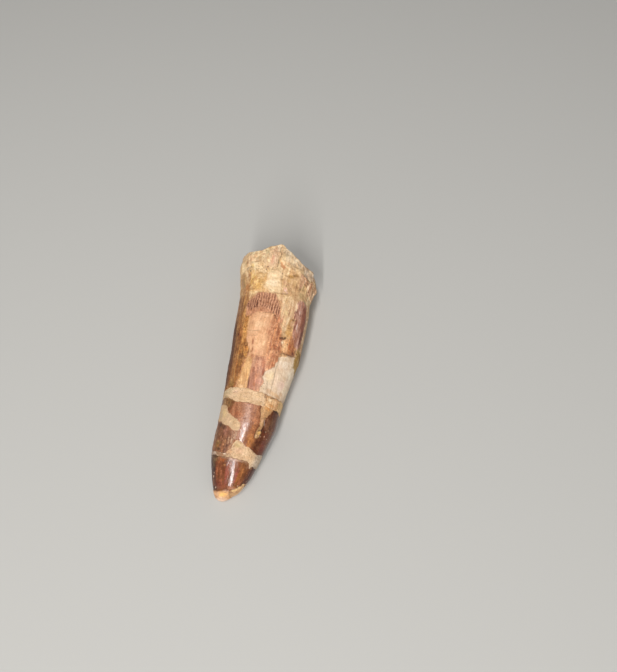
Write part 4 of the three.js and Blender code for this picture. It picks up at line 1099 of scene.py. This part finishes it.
BASE_CRACKS = [
    ([(-28, 40.2), (-18, 40.1), (-9, 40.25)], 0.15, 0.05, 0.35, 0.05),
    ([(-27, 38.8), (-14, 38.7)], 0.15, 0.03, 0.2, 0.05),
    ([(32.5, 34.6), (32.5, 32), (33.5, 29.6), (35, 27.2), (34.6, 25.2)], 0.2, 0.08, 0.28, 0.12),
    ([(30, 35.3), (34, 35.8), (45, 35.6), (52, 35.9), (60, 36.3)], 0.28, 0.16, 0.45, 0.25),
    ([(-9.5, 28.4), (-8, 26.5), (-7, 25.4)], 0.22, 0.06, 0.4, 0.1),
    ([(25, 39.3), (29, 39.6), (31, 39.3), (34, 39.8)], 0.34, 0.18, 0.75, 0.15),
    ([(12, 28.7), (14, 29.2), (15, 30.2), (20, 30.8), (29, 31.6)], 0.2, 0.04, 0.3, 0.15),
    ([(-15, 45.2), (-5, 45.3), (0, 45.5), (4, 45.4)], 0.16, 0.05, 0.42, 0.08),
    ([(-38.5, 44.4), (-33, 43.9), (-29, 44.5)], 0.2, 0.05, 0.4, 0.15),
    ([(7, 45.4), (10, 44.9), (14, 44.1)], 0.3, 0.08, 0.45, 0.15),
    ([(30, 47.4), (36, 45.6), (42, 45.2)], 0.12, 0.05, 0.35, 0.15),
    ([(3.2, 65.7), (3.4, 64.4), (5.8, 63.6), (4.2, 62.2), (2.8, 60.7), (2.2, 59.1)], 0.2, 0.16,
     0.42, 0.08),
    ([(3.3, 61.3), (2.8, 60.7), (2.7, 60.1)], 0.18, 0.12, 0.5, 0.05),
    ([(5.5, 61.7), (14.5, 59.6), (25.5, 58.8)], 0.5, -0.12, -0.1, 0.15),
    ([(41, 61.2), (42.5, 60), (44.2, 58.8), (52, 58.3), (58.5, 58.2), (63, 58.5)], 0.2, 0.24,
     0.5, 0.15),
    ([(46, 57.8), (49, 56.6), (60, 55.7), (74, 54.6)], 0.18, 0.14, 0.4, 0.15),
    ([(54, 57.8), (55, 56.4), (60, 55), (68, 54.1)], 0.16, 0.12, 0.42, 0.12),
    ([(50, 55.4), (58, 54.2), (66, 53)], 0.16, 0.1, 0.3, 0.15),
    ([(60, 58), (67, 57.6), (78, 56.4)], 0.18, 0.12, 0.4, 0.15),
    ([(11.2, 55.8), (12.6, 54.2), (14.9, 51.8)], 0.12, 0.06, 0.22, 0.05),
    # The faint dark line across the cream patch at about 55.8 mm is painted shade along a slight
    # crease.
    ([(-3, 55.7), (5, 55.9), (11.8, 56.1)], 0.22, 0.02, 0.14, 0.1),
    ([(-4, 52.1), (1.8, 51.5), (10.5, 51.3), (18.5, 51.5), (25, 51.9)], 0.18, 0.1, 0.42, 0.1),
    ([(30, 62), (33, 61), (36, 61)], 0.18, 0.08, 0.35, 0.2),
    ([(-44, 52.4), (-34, 52), (-20, 52.2)], 0.16, 0.05, 0.3, 0.3),
    ([(-50, 58.2), (-34, 57.9), (-14, 58.3), (4, 58), (9, 57.4)], 0.14, 0.05, 0.3, 0.25),
    ([(24, 28), (25.5, 27), (25, 26)], 0.14, 0.04, 0.35, 0.15),
]
BASE_SPECKS = [(7, 45.7, 0.26), (10, 45, 0.2), (-12, 58.6, 0.3), (-14, 57.9, 0.22),
               (-20, 58.8, 0.18), (-27, 58.7, 0.16), (-4, 58.5, 0.16), (-40, 57.6, 0.26),
               (-46, 58.8, 0.24), (-39, 59, 0.22), (-30, 58, 0.16), (19, 27.2, 0.18),
               (16, 26.4, 0.14), (21, 26, 0.12)]
# Over what distance from the tip the root's creases and its lumps set in
CREASES_FROM, LUMPS_FROM = (50.8, 53), (50.5, 55)


def dress_base(spot):
    """Worn enamel and bare dentine at the base of the crown, the comb, and the stained, creased
    and lumpy root"""
    skin = skin_of(spot, BASE_BASE)
    lay(skin, spot, CROWN_AREAS + ROOT_AREAS + MAROON_CHIP)
    each(dab, skin, spot, CROWN_DABS + ROOT_DABS)
    comb(skin, spot)
    weather(skin, spot, clouding=1.0, pitting=1.0)
    each(crack, skin, spot, BASE_CRACKS)
    each(speck, skin, spot, BASE_SPECKS, (88, 64, 48), 0.7)
    where = ramp(spot.along, *CREASES_FROM) * (1 - skin.shine) * skin.worn
    creases(skin, spot, where, size=1.5, seed=151, dark=0.28, depth=0.1)
    creases(skin, spot, where, size=0.7, seed=161, dark=0.16, depth=0.03)
    near, mark = crumbs(spot.place, size=2.6, seed=131)
    lump = 0.16 * spot.coarse + 0.26 * (0.5 - near) * (0.4 + 0.6 * mark)
    skin.height += ramp(spot.along, *LUMPS_FROM) * (lump + 0.1 * spot.middle)
    each(swell, skin, spot, ROOT_SWELLS)
    enamel_relief(skin, spot)
    rough_relief(skin, spot)
    return skin


RING_COUNT = 14  # of the dentine's rings, from the middle to the edge
RING_BREAK = 6  # millimetres between breaks in a ring
SAND_SHIFT = 40  # millimetres, which gives the sand grains of its own


def dress_root_end(skin, spot, share):
    """The broken end of the root, where the share of the radius is less than full: rough dentine
    in rings round a cavity that sandy sediment fills"""
    reach = share + 0.05 * spot.coarse
    core = 1 - ramp(reach, CAVITY_REACH - 0.05, CAVITY_REACH + 0.02)
    broken = ramp(1 - share, 0.0, 0.05)
    across, up = spot.place[..., 0] / RING_BREAK, spot.place[..., 2] / RING_BREAK
    rings = bumps(np.stack([share * RING_COUNT, across, up], -1), seed=7)
    near, mark = crumbs(spot.place + SAND_SHIFT, size=0.7, seed=17)
    shade = 0.5 + 0.5 * rings + 0.3 * spot.middle
    dentine = dyed(rgb(232, 196, 152), rgb(196, 148, 104), shade)
    sand = dyed(rgb(206, 164, 118), rgb(148, 104, 70), 0.7 * mark + 0.5 * spot.coarse)
    skin.tint = dyed(skin.tint, dyed(dentine, sand, core), broken)
    rough = 0.12 * rings * (1 - core) + core * 0.3 * (0.5 - near)
    rough = rough + 0.2 * spot.middle + 0.06 * spot.fine + 0.25 * core * spot.coarse
    skin.height = blend(skin.height, rough, broken)
    skin.shine = blend(skin.shine, 0.05, broken)
    skin.grain = blend(skin.grain, 0.3 + 0.7 * core, broken)
    skin.fibre = blend(skin.fibre, 0.0, broken)


# ------------------------ the pieces

HALF_SECTION = 9  # millimetres, about half of the tooth's width
JAGS = (0.9, 5, 2)  # of the breaks: width, seed and layers
JAG_HEIGHT = 0.16


def break_surface(stations):
    """Distance from the tip at which a break crosses the section: one curve across the section's
    upper half and one across its lower half, blended by height, with small jags."""
    over, under = through(stations[0]), through(stations[1])

    def surface(share, angle):
        across = share * np.cos(angle)
        height = (share * np.sin(angle) + 1) / 2
        line = blend(under(across), over(across), ramp(height, UNDER_ENDS, OVER_STARTS))
        level = np.full(across.shape, over(0.3))  # which gives each break its own jags
        place = np.stack([HALF_SECTION * across, 2 * HALF_SECTION * height, level], -1)
        return line + JAG_HEIGHT * hills(place, *JAGS)

    return surface


def grid_normals(place):
    """Outward unit normals of a grid of rings, from the steps along it and round it"""
    along = np.gradient(place, axis=0)
    across = np.roll(place, -1, 1) - np.roll(place, 1, 1)
    normal = np.cross(along, across)
    length = np.linalg.norm(normal, axis=-1, keepdims=True)
    return np.where(length > TINY, normal / np.maximum(length, TINY), (0, -1, 0))


TOP_DENSITY = 0.35  # how much closer together the columns are at the top than on average


def column_angles(columns):
    """Angles round the section, closer together at the top than underneath"""
    u = 2 * np.pi * np.arange(columns) / columns
    return u + TOP_DENSITY * np.cos(u)


CAP_SHARES = np.array([0.12, 0.3, 0.5, 0.7, 0.86, 0.95])  # of the rings across a break
RIM_RINGS = 5
END_SHARES = (0.945, 0.03)  # of the first and the last ring across the root's broken end


def stack_of_rings(start, end, rows, columns, end_rings):
    """The rings of one piece, from pole to pole, as arrays of share of the radius, angle and
    distance from the tip. A break is crossed by a few rings; the root's broken end by many,
    after a rounded rim. Without a start break the piece begins at the round nose."""
    angle, full = column_angles(columns)[None], np.ones((1, columns))
    shares, alongs = [], []
    last = end(full, angle) - (RIM_RADIUS if end_rings else SEAM / 2)
    if start is None:
        alongs.append(last * (1 - np.cos(np.linspace(0, np.pi / 2, rows + 1)[1:, None])))
    else:
        cap = CAP_SHARES[:, None] * full
        shares.append(cap)
        alongs.append(start(cap, angle) + SEAM / 2)
        first = start(full, angle) + SEAM / 2
        alongs.append(first + (last - first) * np.linspace(0, 1, rows)[:, None])
    shares.append(np.ones((rows, columns)))
    if end_rings:
        bend = np.linspace(0, np.pi / 2, RIM_RINGS + 1)[1:, None]
        shares.append(1 - (RIM_RADIUS / HALF_SECTION) * (1 - np.cos(bend)) * full)
        alongs.append(last + RIM_RADIUS * np.sin(bend))
        cap = np.linspace(*END_SHARES, end_rings)[:, None] * full
        sunk = CAVITY_DEPTH * (1 - ramp(cap, CAVITY_REACH * 0.75, CAVITY_REACH + 0.06))
    else:
        cap = CAP_SHARES[::-1, None] * full
        sunk = SEAM / 2
    shares.append(cap)
    alongs.append(end(cap, angle) - sunk)
    share = np.concatenate(shares)
    return share, np.broadcast_to(angle, share.shape), np.concatenate(alongs)


FLAT_UP_TO = 0.7  # millimetres above the floor: where the tooth lies it has no relief


def raised(place, height, rings):
    """The grid with a range of its rings moved out along their normals by their height, less so
    where the tooth lies and never below the floor"""
    normal = np.zeros(place.shape)
    normal[rings] = grid_normals(place[rings])
    lifted = ramp(place[..., 2], 0.0, FLAT_UP_TO)
    place = place + normal * (height * lifted)[..., None]
    place[..., 2] = np.maximum(place[..., 2], 0)
    return place


def poles_of(place, start):
    """The two points that close a stack of rings: the nose or the middle of the first ring, and
    the middle of the last ring"""
    first = tooth_point(0.0, 0.0, np.zeros(1))[0] if start is None else place[0].mean(0)
    return np.stack([first, place[-1].mean(0)])


def ring_faces(rings, columns):
    """Quads between neighbouring rings and triangles to the two poles, facing out"""
    index = np.arange(rings * columns).reshape(rings, columns)
    beside = np.roll(index, -1, 1)
    quads = np.stack([index[:-1], index[1:], beside[1:], beside[:-1]], -1).reshape(-1, 4)
    low = np.full(columns, rings * columns)
    first = np.stack([low, index[0], beside[0]], -1)
    last = np.stack([low + 1, beside[-1], index[-1]], -1)
    return quads, first, last


PIGMENT = 0.88  # the skin's colours are as they look in full light; the surface is darker


def with_poles(values):
    """The values of a grid of rings in one list, with the mean of each end ring for its pole"""
    ends = np.stack([values[0].mean(0), values[-1].mean(0)])
    return np.concatenate([values.reshape(-1, *values.shape[2:]), ends])


def write_skin(mesh, skin, spot):
    """Puts the skin's colour and finish, and the place among the fibres, into attributes that the
    materials read"""
    opaque = np.concatenate([PIGMENT * skin.tint, np.ones((*skin.tint.shape[:2], 1))], -1)
    layers = [("tint", "FLOAT_COLOR", "color", np.clip(opaque, 0, 1)),
              ("fibre_place", "FLOAT_VECTOR", "vector", spot.fibre)]
    layers += [(name, "FLOAT", "value", np.clip(getattr(skin, name), 0, 1.5)) for name in FINISH]
    for name, kind, field, values in layers:
        layer = mesh.attributes.new(name, kind, "POINT")
        layer.data.foreach_set(field, with_poles(values).astype(np.float32).ravel())


# The texture's layout, in shares of its size: the free edge, the top of the side's strip, and the
# radius and the centres of the two ends' discs
ATLAS_EDGE, STRIP_TOP, DISC_RADIUS = 0.004, 0.74, 0.118
DISC_CENTRES = ((0.25, 0.872), (0.75, 0.872))


def atlas(share, caps_before, side_rings, columns):
    """A flat layout of the rings for a texture: the side as a strip over the lower part, and the
    two ends as discs over it. Each ring has one column more, because the strip is cut open."""
    uv = np.zeros((len(share), columns + 1, 2))
    side = slice(caps_before, caps_before + side_rings)
    uv[side, :, 0] = np.linspace(ATLAS_EDGE, 1 - ATLAS_EDGE, columns + 1)
    uv[side, :, 1] = np.linspace(ATLAS_EDGE, STRIP_TOP, side_rings)[:, None]
    angle = np.append(column_angles(columns), column_angles(columns)[0] + 2 * np.pi)
    around = np.stack([np.cos(angle), np.sin(angle)], -1)
    for rings, centre in zip((slice(0, caps_before), slice(side.stop, None)), DISC_CENTRES):
        uv[rings] = DISC_RADIUS * share[rings, :1, None] * around + centre
    return uv


def uv_of(uv, corners):
    """The layout's place of each corner of some faces, given as numbers of points. A face that
    closes the ring takes the extra column in place of the first."""
    columns = uv.shape[1] - 1
    ring, column = np.divmod(corners, columns)
    closes = (column == 0) & (column.max(1, keepdims=True) == columns - 1)
    return uv[ring, np.where(closes, columns, column)]


def write_layout(mesh, uv, quads, first, last, nosed):
    """Puts the layout into the mesh's own UV map. A pole is its disc's centre, but the nose has no
    disc: its triangles reach down to the strip's lower edge."""
    corners = [uv_of(uv, quads).reshape(-1, 2)]
    for fan, centre in zip((first, last), DISC_CENTRES):
        rim = uv_of(uv, fan[:, 1:])
        pole = np.full((len(fan), 1, 2), centre)
        if nosed and fan is first:
            pole[:, 0] = rim.mean(1) * (1, 0)
        corners.append(np.concatenate([pole, rim], 1).reshape(-1, 2))
    layout = mesh.uv_layers.new(name="OFBake")
    layout.data.foreach_set("uv", np.concatenate(corners).astype(np.float32).ravel())


def show(name, data):
    """A new object in the scene"""
    thing = bpy.data.objects.new(name, data)
    bpy.context.scene.collection.objects.link(thing)
    return thing


def make_piece(name, node, material, dress, start, end, rows, columns, end_rings=0):
    """One piece, between a start and an end: its rings are surveyed, dressed, raised by their
    relief and put into a mesh, with the skin's layers as attributes. Only the root has rings on
    its end that are dressed too."""
    share, angle, along = stack_of_rings(start, end, rows, columns, end_rings)
    place = tooth_point(share, angle, along)
    spot = survey(angle, along)
    skin = dress(spot)
    if end_rings:
        spot.place = place
        stir(spot)
        dress_root_end(skin, spot, share)
    caps_before = 0 if start is None else len(CAP_SHARES)
    relief_rings = slice(caps_before, None if end_rings else caps_before + rows)
    place = raised(place, skin.height, relief_rings)
    points = np.concatenate([place.reshape(-1, 3), poles_of(place, start)])
    quads, first, last = ring_faces(*share.shape)
    mesh = bpy.data.meshes.new(name)
    mesh.from_pydata((points - CENTRE) * MM, [], quads.tolist() + first.tolist() + last.tolist())
    write_skin(mesh, skin, spot)
    side_rings = rows + (RIM_RINGS if end_rings else 0)
    uv = atlas(share, caps_before, side_rings, columns)
    write_layout(mesh, uv, quads, first, last, nosed=start is None)
    mesh.validate()
    mesh.shade_smooth()
    mesh.materials.append(material)
    piece = show(name, mesh)
    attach(piece, "root")
    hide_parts(node)


# ------------------------ materials


def put(tree, kind, inputs=None, **settings):
    """Adds a node with its settings and its inputs, which are values or other nodes' outputs"""
    node = tree.nodes.new(kind)
    for name, value in settings.items():
        setattr(node, name, value)
    for name, value in (inputs or {}).items():
        if isinstance(value, bpy.types.NodeSocket):
            tree.links.new(value, node.inputs[name])
        else:
            node.inputs[name].default_value = value
    return node


def maths(tree, operation, a, b, clamp=False):
    """Two values joined by an operation, and held between 0 and 1 if clamped"""
    return put(tree, "ShaderNodeMath", {0: a, 1: b}, operation=operation,
               use_clamp=clamp).outputs[0]


def mixed(tree, share, a, b, how="MIX"):
    """Two colours mixed by a share"""
    return put(tree, "ShaderNodeMix", {0: share, 6: a, 7: b}, data_type="RGBA",
               blend_type=how).outputs[2]


def ranged(tree, value, low, high, to_low=0.0, to_high=1.0):
    """A value's range moved to another range, and held inside it"""
    return put(tree, "ShaderNodeMapRange", {"Value": value, "From Min": low, "From Max": high,
                                            "To Min": to_low, "To Max": to_high}).outputs[0]


def weighted(tree, amount, value, low, high, to_low=0.0, to_high=1.0):
    """An amount multiplied by a value whose range is moved to another range"""
    return maths(tree, "MULTIPLY", amount, ranged(tree, value, low, high, to_low, to_high))


def grey(tree, value):
    """A value as a colour"""
    return put(tree, "ShaderNodeCombineColor", {0: value, 1: value, 2: value}).outputs[0]


def noise(tree, place, scale, detail, roughness, distortion=0.0):
    """A noise texture's two outputs, a height and a colour"""
    return put(tree, "ShaderNodeTexNoise", {
        "Vector": place, "Scale": scale, "Detail": detail, "Roughness": roughness,
        "Distortion": distortion}).outputs


def vectors(tree, operation, a, b):
    """Two vectors joined by an operation"""
    return put(tree, "ShaderNodeVectorMath", {0: a, 1: b}, operation=operation).outputs[0]


def fibre_streaks(group, given):
    """Long thin streaks along the fibres, and finer hairs: noise that is drawn out along them"""
    drawn = vectors(group, "MULTIPLY", given["Place"], (1.0, 0.06, 1.0))
    scale = maths(group, "DIVIDE", 1.0, given["Width"])
    finer = maths(group, "MULTIPLY", scale, 3.0)
    return {"Streaks": noise(group, drawn, scale, 3.0, 0.6)[0],
            "Hairs": noise(group, drawn, finer, 2.0, 0.6)[0]}


def mineral_mottle(group, given):
    """Uneven colour of buried bone: a cloudy field, a finer gritty one, and specks where that one
    peaks"""
    scale = maths(group, "DIVIDE", 1.0, given["Size"])
    finer = maths(group, "MULTIPLY", scale, 4.0)
    clouds = noise(group, given["Place"], scale, 5.0, 0.65, 0.4)[0]
    grit = noise(group, given["Place"], finer, 2.0, 0.5)[0]
    return {"Clouds": clouds, "Specks": ranged(group, grit, 0.66, 0.74), "Grit": grit}


def cells(tree, place, size, **settings):
    """A pattern of cells of a size, each round a random point"""
    scale = maths(tree, "DIVIDE", 1.0, size)
    return put(tree, "ShaderNodeTexVoronoi", {"Vector": place, "Scale": scale}, **settings).outputs


def sand_grains(group, given):
    """Sand: cells of random shade, domed in height"""
    grains = cells(group, given["Place"], given["Size"])
    tone = put(group, "ShaderNodeSeparateColor", {"Color": grains["Color"]}).outputs[0]
    return {"Shade": tone, "Dome": maths(group, "SUBTRACT", 1.0, grains["Distance"])}


def fine_crackle(group, given):
    """A net of hairline cracks: the borders between warped cells"""
    warp = noise(group, given["Place"], 0.8, 2.0, 0.5)[1]
    shift = vectors(group, "MULTIPLY", warp, (1.3, 1.3, 1.3))
    moved = vectors(group, "ADD", given["Place"], shift)
    border = cells(group, moved, given["Size"], feature="DISTANCE_TO_EDGE")["Distance"]
    return {"Cracks": ranged(group, border, 0.0, given["Width"], 1.0, 0.0)}


def node_group(name, values, effect_of):
    """A shared effect: its inputs are a place and some values, and its outputs are what the
    effect's own function makes of them, by name"""
    group = bpy.data.node_groups.new(name, "ShaderNodeTree")
    group.interface.new_socket("Place", in_out="INPUT", socket_type="NodeSocketVector")
    for title, value in values.items():
        socket = group.interface.new_socket(title, in_out="INPUT", socket_type="NodeSocketFloat")
        socket.default_value = value
    made = effect_of(group, group.nodes.new("NodeGroupInput").outputs)
    for title in made:
        group.interface.new_socket(title, in_out="OUTPUT", socket_type="NodeSocketFloat")
    out = group.nodes.new("NodeGroupOutput")
    for title, value in made.items():
        group.links.new(value, out.inputs[title])
    return group


GROUPS = {
    "streaks": node_group("Fibre streaks", {"Width": 0.3}, fibre_streaks),
    "mottle": node_group("Mineral mottle", {"Size": 1.0}, mineral_mottle),
    "grains": node_group("Sand grains", {"Size": 0.2}, sand_grains),
    "crackle": node_group("Fine crackle", {"Size": 2.0, "Width": 0.02}, fine_crackle),
}


def effect(tree, group, inputs):
    """One of the shared groups, placed with its own values"""
    return put(tree, "ShaderNodeGroup", inputs, node_tree=GROUPS[group]).outputs


def light_colour(*screen):
    """A colour given in the 0 to 255 of a screen, as an opaque colour of light"""
    return (*rgb(*screen), 1.0)


def surface_height(tree, skin, streaks, mottle, grains, lines):
    """The fine height that the bump reads: domed grains, hairs along the fibres, clouds where it
    is matte, grit everywhere, less the crackle's lines"""
    height = maths(tree, "MULTIPLY", maths(tree, "MULTIPLY", skin.grain, grains["Dome"]), 1.6)
    height = maths(tree, "ADD", height, maths(tree, "MULTIPLY", streaks["Hairs"], skin.fibre))
    matte = ranged(tree, skin.shine, 0.0, 1.0, 1.0, 0.2)
    height = maths(tree, "ADD", height, maths(tree, "MULTIPLY", mottle["Clouds"], matte))
    height = maths(tree, "SUBTRACT", height, maths(tree, "MULTIPLY", lines, 1.2))
    return maths(tree, "ADD", height, maths(tree, "MULTIPLY", mottle["Grit"], 1.6))


def fossil_material(name, gloss_roughness, matte_roughness, streak_dark, streak_light,
                    clouds, minerals, crack_size, grain_size, bump):
    """The finish of a piece: the skin's tint, streaked along the fibres, clouded, speckled with
    minerals and crackled, glossy where the shine is and grainy where the grain is. Sizes and the
    bump's height are in millimetres, and colours in the 0 to 255 of a screen."""
    streak_dark, streak_light, clouds, minerals = (
        light_colour(*screen) for screen in (streak_dark, streak_light, clouds, minerals))
    material = bpy.data.materials.new(name)
    material.use_nodes = True
    tree = material.node_tree
    tree.nodes.clear()
    skin = SimpleNamespace(**{layer: put(tree, "ShaderNodeAttribute", attribute_name=layer)
                              .outputs["Fac"] for layer in FINISH})
    tint = put(tree, "ShaderNodeAttribute", attribute_name="tint").outputs["Color"]
    fibre_place = put(tree, "ShaderNodeAttribute", attribute_name="fibre_place")
    metres = put(tree, "ShaderNodeTexCoord").outputs["Object"]
    place = put(tree, "ShaderNodeVectorMath", {0: metres, "Scale": 1 / MM},
                operation="SCALE").outputs[0]
    streaks = effect(tree, "streaks", {"Place": fibre_place.outputs["Vector"], "Width": 0.42})
    mottle = effect(tree, "mottle", {"Place": place, "Size": 1.3})
    grains = effect(tree, "grains", {"Place": place, "Size": grain_size})
    crackle = effect(tree, "crackle", {"Place": place, "Size": crack_size, "Width": 0.022})

    dark = weighted(tree, skin.fibre, streaks["Streaks"], 0.5, 0.75, 0.0, 0.75)
    colour = mixed(tree, dark, tint, streak_dark, "MULTIPLY")
    light = weighted(tree, skin.fibre, streaks["Streaks"], 0.48, 0.25, 0.0, 0.6)
    colour = mixed(tree, light, colour, streak_light, "SOFT_LIGHT")
    hair = weighted(tree, skin.fibre, streaks["Hairs"], 0.54, 0.7, 0.0, 0.6)
    colour = mixed(tree, hair, colour, streak_dark, "MULTIPLY")
    cloud = ranged(tree, mottle["Clouds"], 0.5, 0.8, 0.0, 0.5)
    colour = mixed(tree, cloud, colour, clouds, "MULTIPLY")
    grit = weighted(tree, skin.worn, mottle["Grit"], 0.3, 0.7, -0.24, 0.24)
    colour = mixed(tree, 1.0, colour, grey(tree, maths(tree, "ADD", 1.0, grit)), "MULTIPLY")
    shade = grey(tree, ranged(tree, grains["Shade"], 0.0, 1.0, 0.88, 1.1))
    colour = mixed(tree, maths(tree, "MULTIPLY", skin.grain, 0.8), colour, shade, "MULTIPLY")
    specks = maths(tree, "MULTIPLY", mottle["Specks"], maths(tree, "MULTIPLY", skin.worn, 0.5))
    colour = mixed(tree, specks, colour, minerals)
    lines = weighted(tree, crackle["Cracks"], skin.shine, 0.0, 1.0, 0.1, 0.25)
    lines = weighted(tree, lines, skin.worn, 0.3, 1.0)
    colour = mixed(tree, lines, colour, minerals, "MULTIPLY")

    base = ranged(tree, skin.shine, 0.0, 1.0, matte_roughness, gloss_roughness)
    uneven = ranged(tree, mottle["Clouds"], 0.3, 0.7, -0.05, 0.06)
    height = surface_height(tree, skin, streaks, mottle, grains, lines)
    bumped = put(tree, "ShaderNodeBump",
                 {"Height": height, "Distance": bump * MM, "Strength": 1.0})
    shader = put(tree, "ShaderNodeBsdfPrincipled", {
        "Base Color": colour, "Roughness": maths(tree, "ADD", base, uneven, clamp=True),
        "Normal": bumped.outputs[0], "IOR": 1.5})
    out = put(tree, "ShaderNodeOutputMaterial")
    tree.links.new(shader.outputs[0], out.inputs["Surface"])
    return material


tip_enamel = fossil_material(
    "Tip enamel", gloss_roughness=0.15, matte_roughness=0.6,
    streak_dark=(190, 150, 130), streak_light=(220, 150, 100), clouds=(200, 170, 150),
    minerals=(80, 46, 30), crack_size=3.2, grain_size=0.22, bump=0.009)
crown_enamel = fossil_material(
    "Chipped enamel", gloss_roughness=0.13, matte_roughness=0.75,
    streak_dark=(190, 150, 130), streak_light=(225, 160, 110), clouds=(200, 170, 150),
    minerals=(84, 52, 34), crack_size=2.8, grain_size=0.24, bump=0.008)
sandy_filler = fossil_material(
    "Sandy filler", gloss_roughness=0.5, matte_roughness=0.95,
    streak_dark=(200, 180, 160), streak_light=(230, 200, 160), clouds=(225, 205, 180),
    minerals=(120, 88, 60), crack_size=6.0, grain_size=0.2, bump=0.05)
root_dentine = fossil_material(
    "Root dentine", gloss_roughness=0.3, matte_roughness=0.78,
    streak_dark=(190, 140, 110), streak_light=(240, 200, 150), clouds=(222, 190, 158),
    minerals=(120, 84, 56), crack_size=3.6, grain_size=0.26, bump=0.04)

tip_break, lower_break, mid_break, upper_break, root_break = (
    break_surface(stations)
    for stations in (TIP_TOP, LOWER_FILLER_TOP, MID_CROWN_TOP, UPPER_FILLER_TOP, ROOT_END))

make_piece("tip", "tip_fragment", tip_enamel, dress_tip, None, tip_break,
           rows=110, columns=300)
make_piece("lower_band", "lower_filler", sandy_filler, dress_filler, tip_break,
           lower_break, rows=34, columns=340)
make_piece("mid_crown", "mid_crown_fragment", crown_enamel, dress_mid,
           lower_break, mid_break, rows=110, columns=380)
make_piece("upper_band", "upper_filler", sandy_filler, dress_filler, mid_break,
           upper_break, rows=34, columns=380)
make_piece("root", "crown_base_and_root", root_dentine, dress_base, upper_break,
           root_break, rows=195, columns=400, end_rings=34)

# ------------------------ floor, lights and camera


def plain_material(name, colour, roughness):
    """A smooth material of one colour"""
    material = bpy.data.materials.new(name)
    material.use_nodes = True
    shader = material.node_tree.nodes["Principled BSDF"]
    shader.inputs["Base Color"].default_value = colour
    shader.inputs["Roughness"].default_value = roughness
    return material


FLOOR_HALF = 3.0
corners = [(x * FLOOR_HALF, y * FLOOR_HALF, 0) for x, y in ((-1, -1), (1, -1), (1, 1), (-1, 1))]
floor_mesh = bpy.data.meshes.new("floor")
floor_mesh.from_pydata(corners, [], [(0, 1, 2, 3)])
floor_mesh.materials.append(plain_material("Pale floor", light_colour(186, 184, 179), 0.9))
floor = show("floor", floor_mesh)

LAMPS_FACE = Vector((0, -0.02, 0))  # the place that all lamps are turned to


def soft_light(name, elevation, aside, lean, distance, width, length, radiance, mirrored=True):
    """A rectangular lamp that faces the tooth: its elevation is measured from the front over the
    top to the back, it stands aside to the right by an angle, and its upper end leans to the left
    by another, in degrees. A lamp that is not mirrored only lights the colours."""
    lamp = bpy.data.lights.new(name, "AREA")
    lamp.shape = "RECTANGLE"
    lamp.size, lamp.size_y = width, length
    lamp.energy = radiance * math.pi * width * length
    up, out = math.radians(elevation), math.radians(aside)
    towards = Vector((math.sin(out), -math.cos(up) * math.cos(out), math.sin(up) * math.cos(out)))
    across = Vector((1, 0, 0)) - towards * towards.x
    across.normalize()
    lengthways = towards.cross(across)
    turn = Matrix((across, lengthways, towards)).transposed().to_4x4()
    turn = turn @ Matrix.Rotation(math.radians(lean), 4, "Z")
    holder = show(name, lamp)
    holder.matrix_world = Matrix.Translation(towards * distance + LAMPS_FACE) @ turn
    holder.visible_glossy = mirrored


soft_light("front strip", elevation=42, aside=-1, lean=17, distance=0.6, width=0.03, length=0.50,
           radiance=62)
soft_light("top strip", elevation=81, aside=-3.5, lean=27, distance=0.6, width=0.024, length=0.21,
           radiance=80)
soft_light("fill", elevation=60, aside=30, lean=0, distance=0.9, width=1.0, length=1.0,
           radiance=0.45, mirrored=False)
soft_light("left fill", elevation=40, aside=-62, lean=0, distance=0.9, width=0.9, length=0.9,
           radiance=0.16, mirrored=False)

ROOM_RADIANCE = 0.21
world = bpy.data.worlds.new("pale room")
world.use_nodes = True
background = world.node_tree.nodes["Background"]
background.inputs["Color"].default_value = (1, 1, 1, 1)
background.inputs["Strength"].default_value = ROOM_RADIANCE
bpy.context.scene.world = world
bpy.context.scene.view_settings.view_transform = "Standard"

# The camera looks steeply down along the tooth from in front of its tip
CAMERA_PLACE = Vector((23.51, -52.26, 132.65)) * MM
CAMERA_RIGHT = Vector((0.9855, 0.1691, -0.0103))
CAMERA_AHEAD = Vector((-0.0863, 0.4484, -0.8897))
LENS, SENSOR = 28.446, 36  # millimetres
camera_data = bpy.data.cameras.new("camera")
camera_data.lens, camera_data.sensor_width = LENS, SENSOR
camera_data.clip_start = 0.005
camera = show("camera", camera_data)
axes = Matrix((CAMERA_RIGHT, CAMERA_RIGHT.cross(CAMERA_AHEAD), -CAMERA_AHEAD))
camera.matrix_world = Matrix.Translation(CAMERA_PLACE) @ axes.transposed().to_4x4()
bpy.context.scene.camera = camera
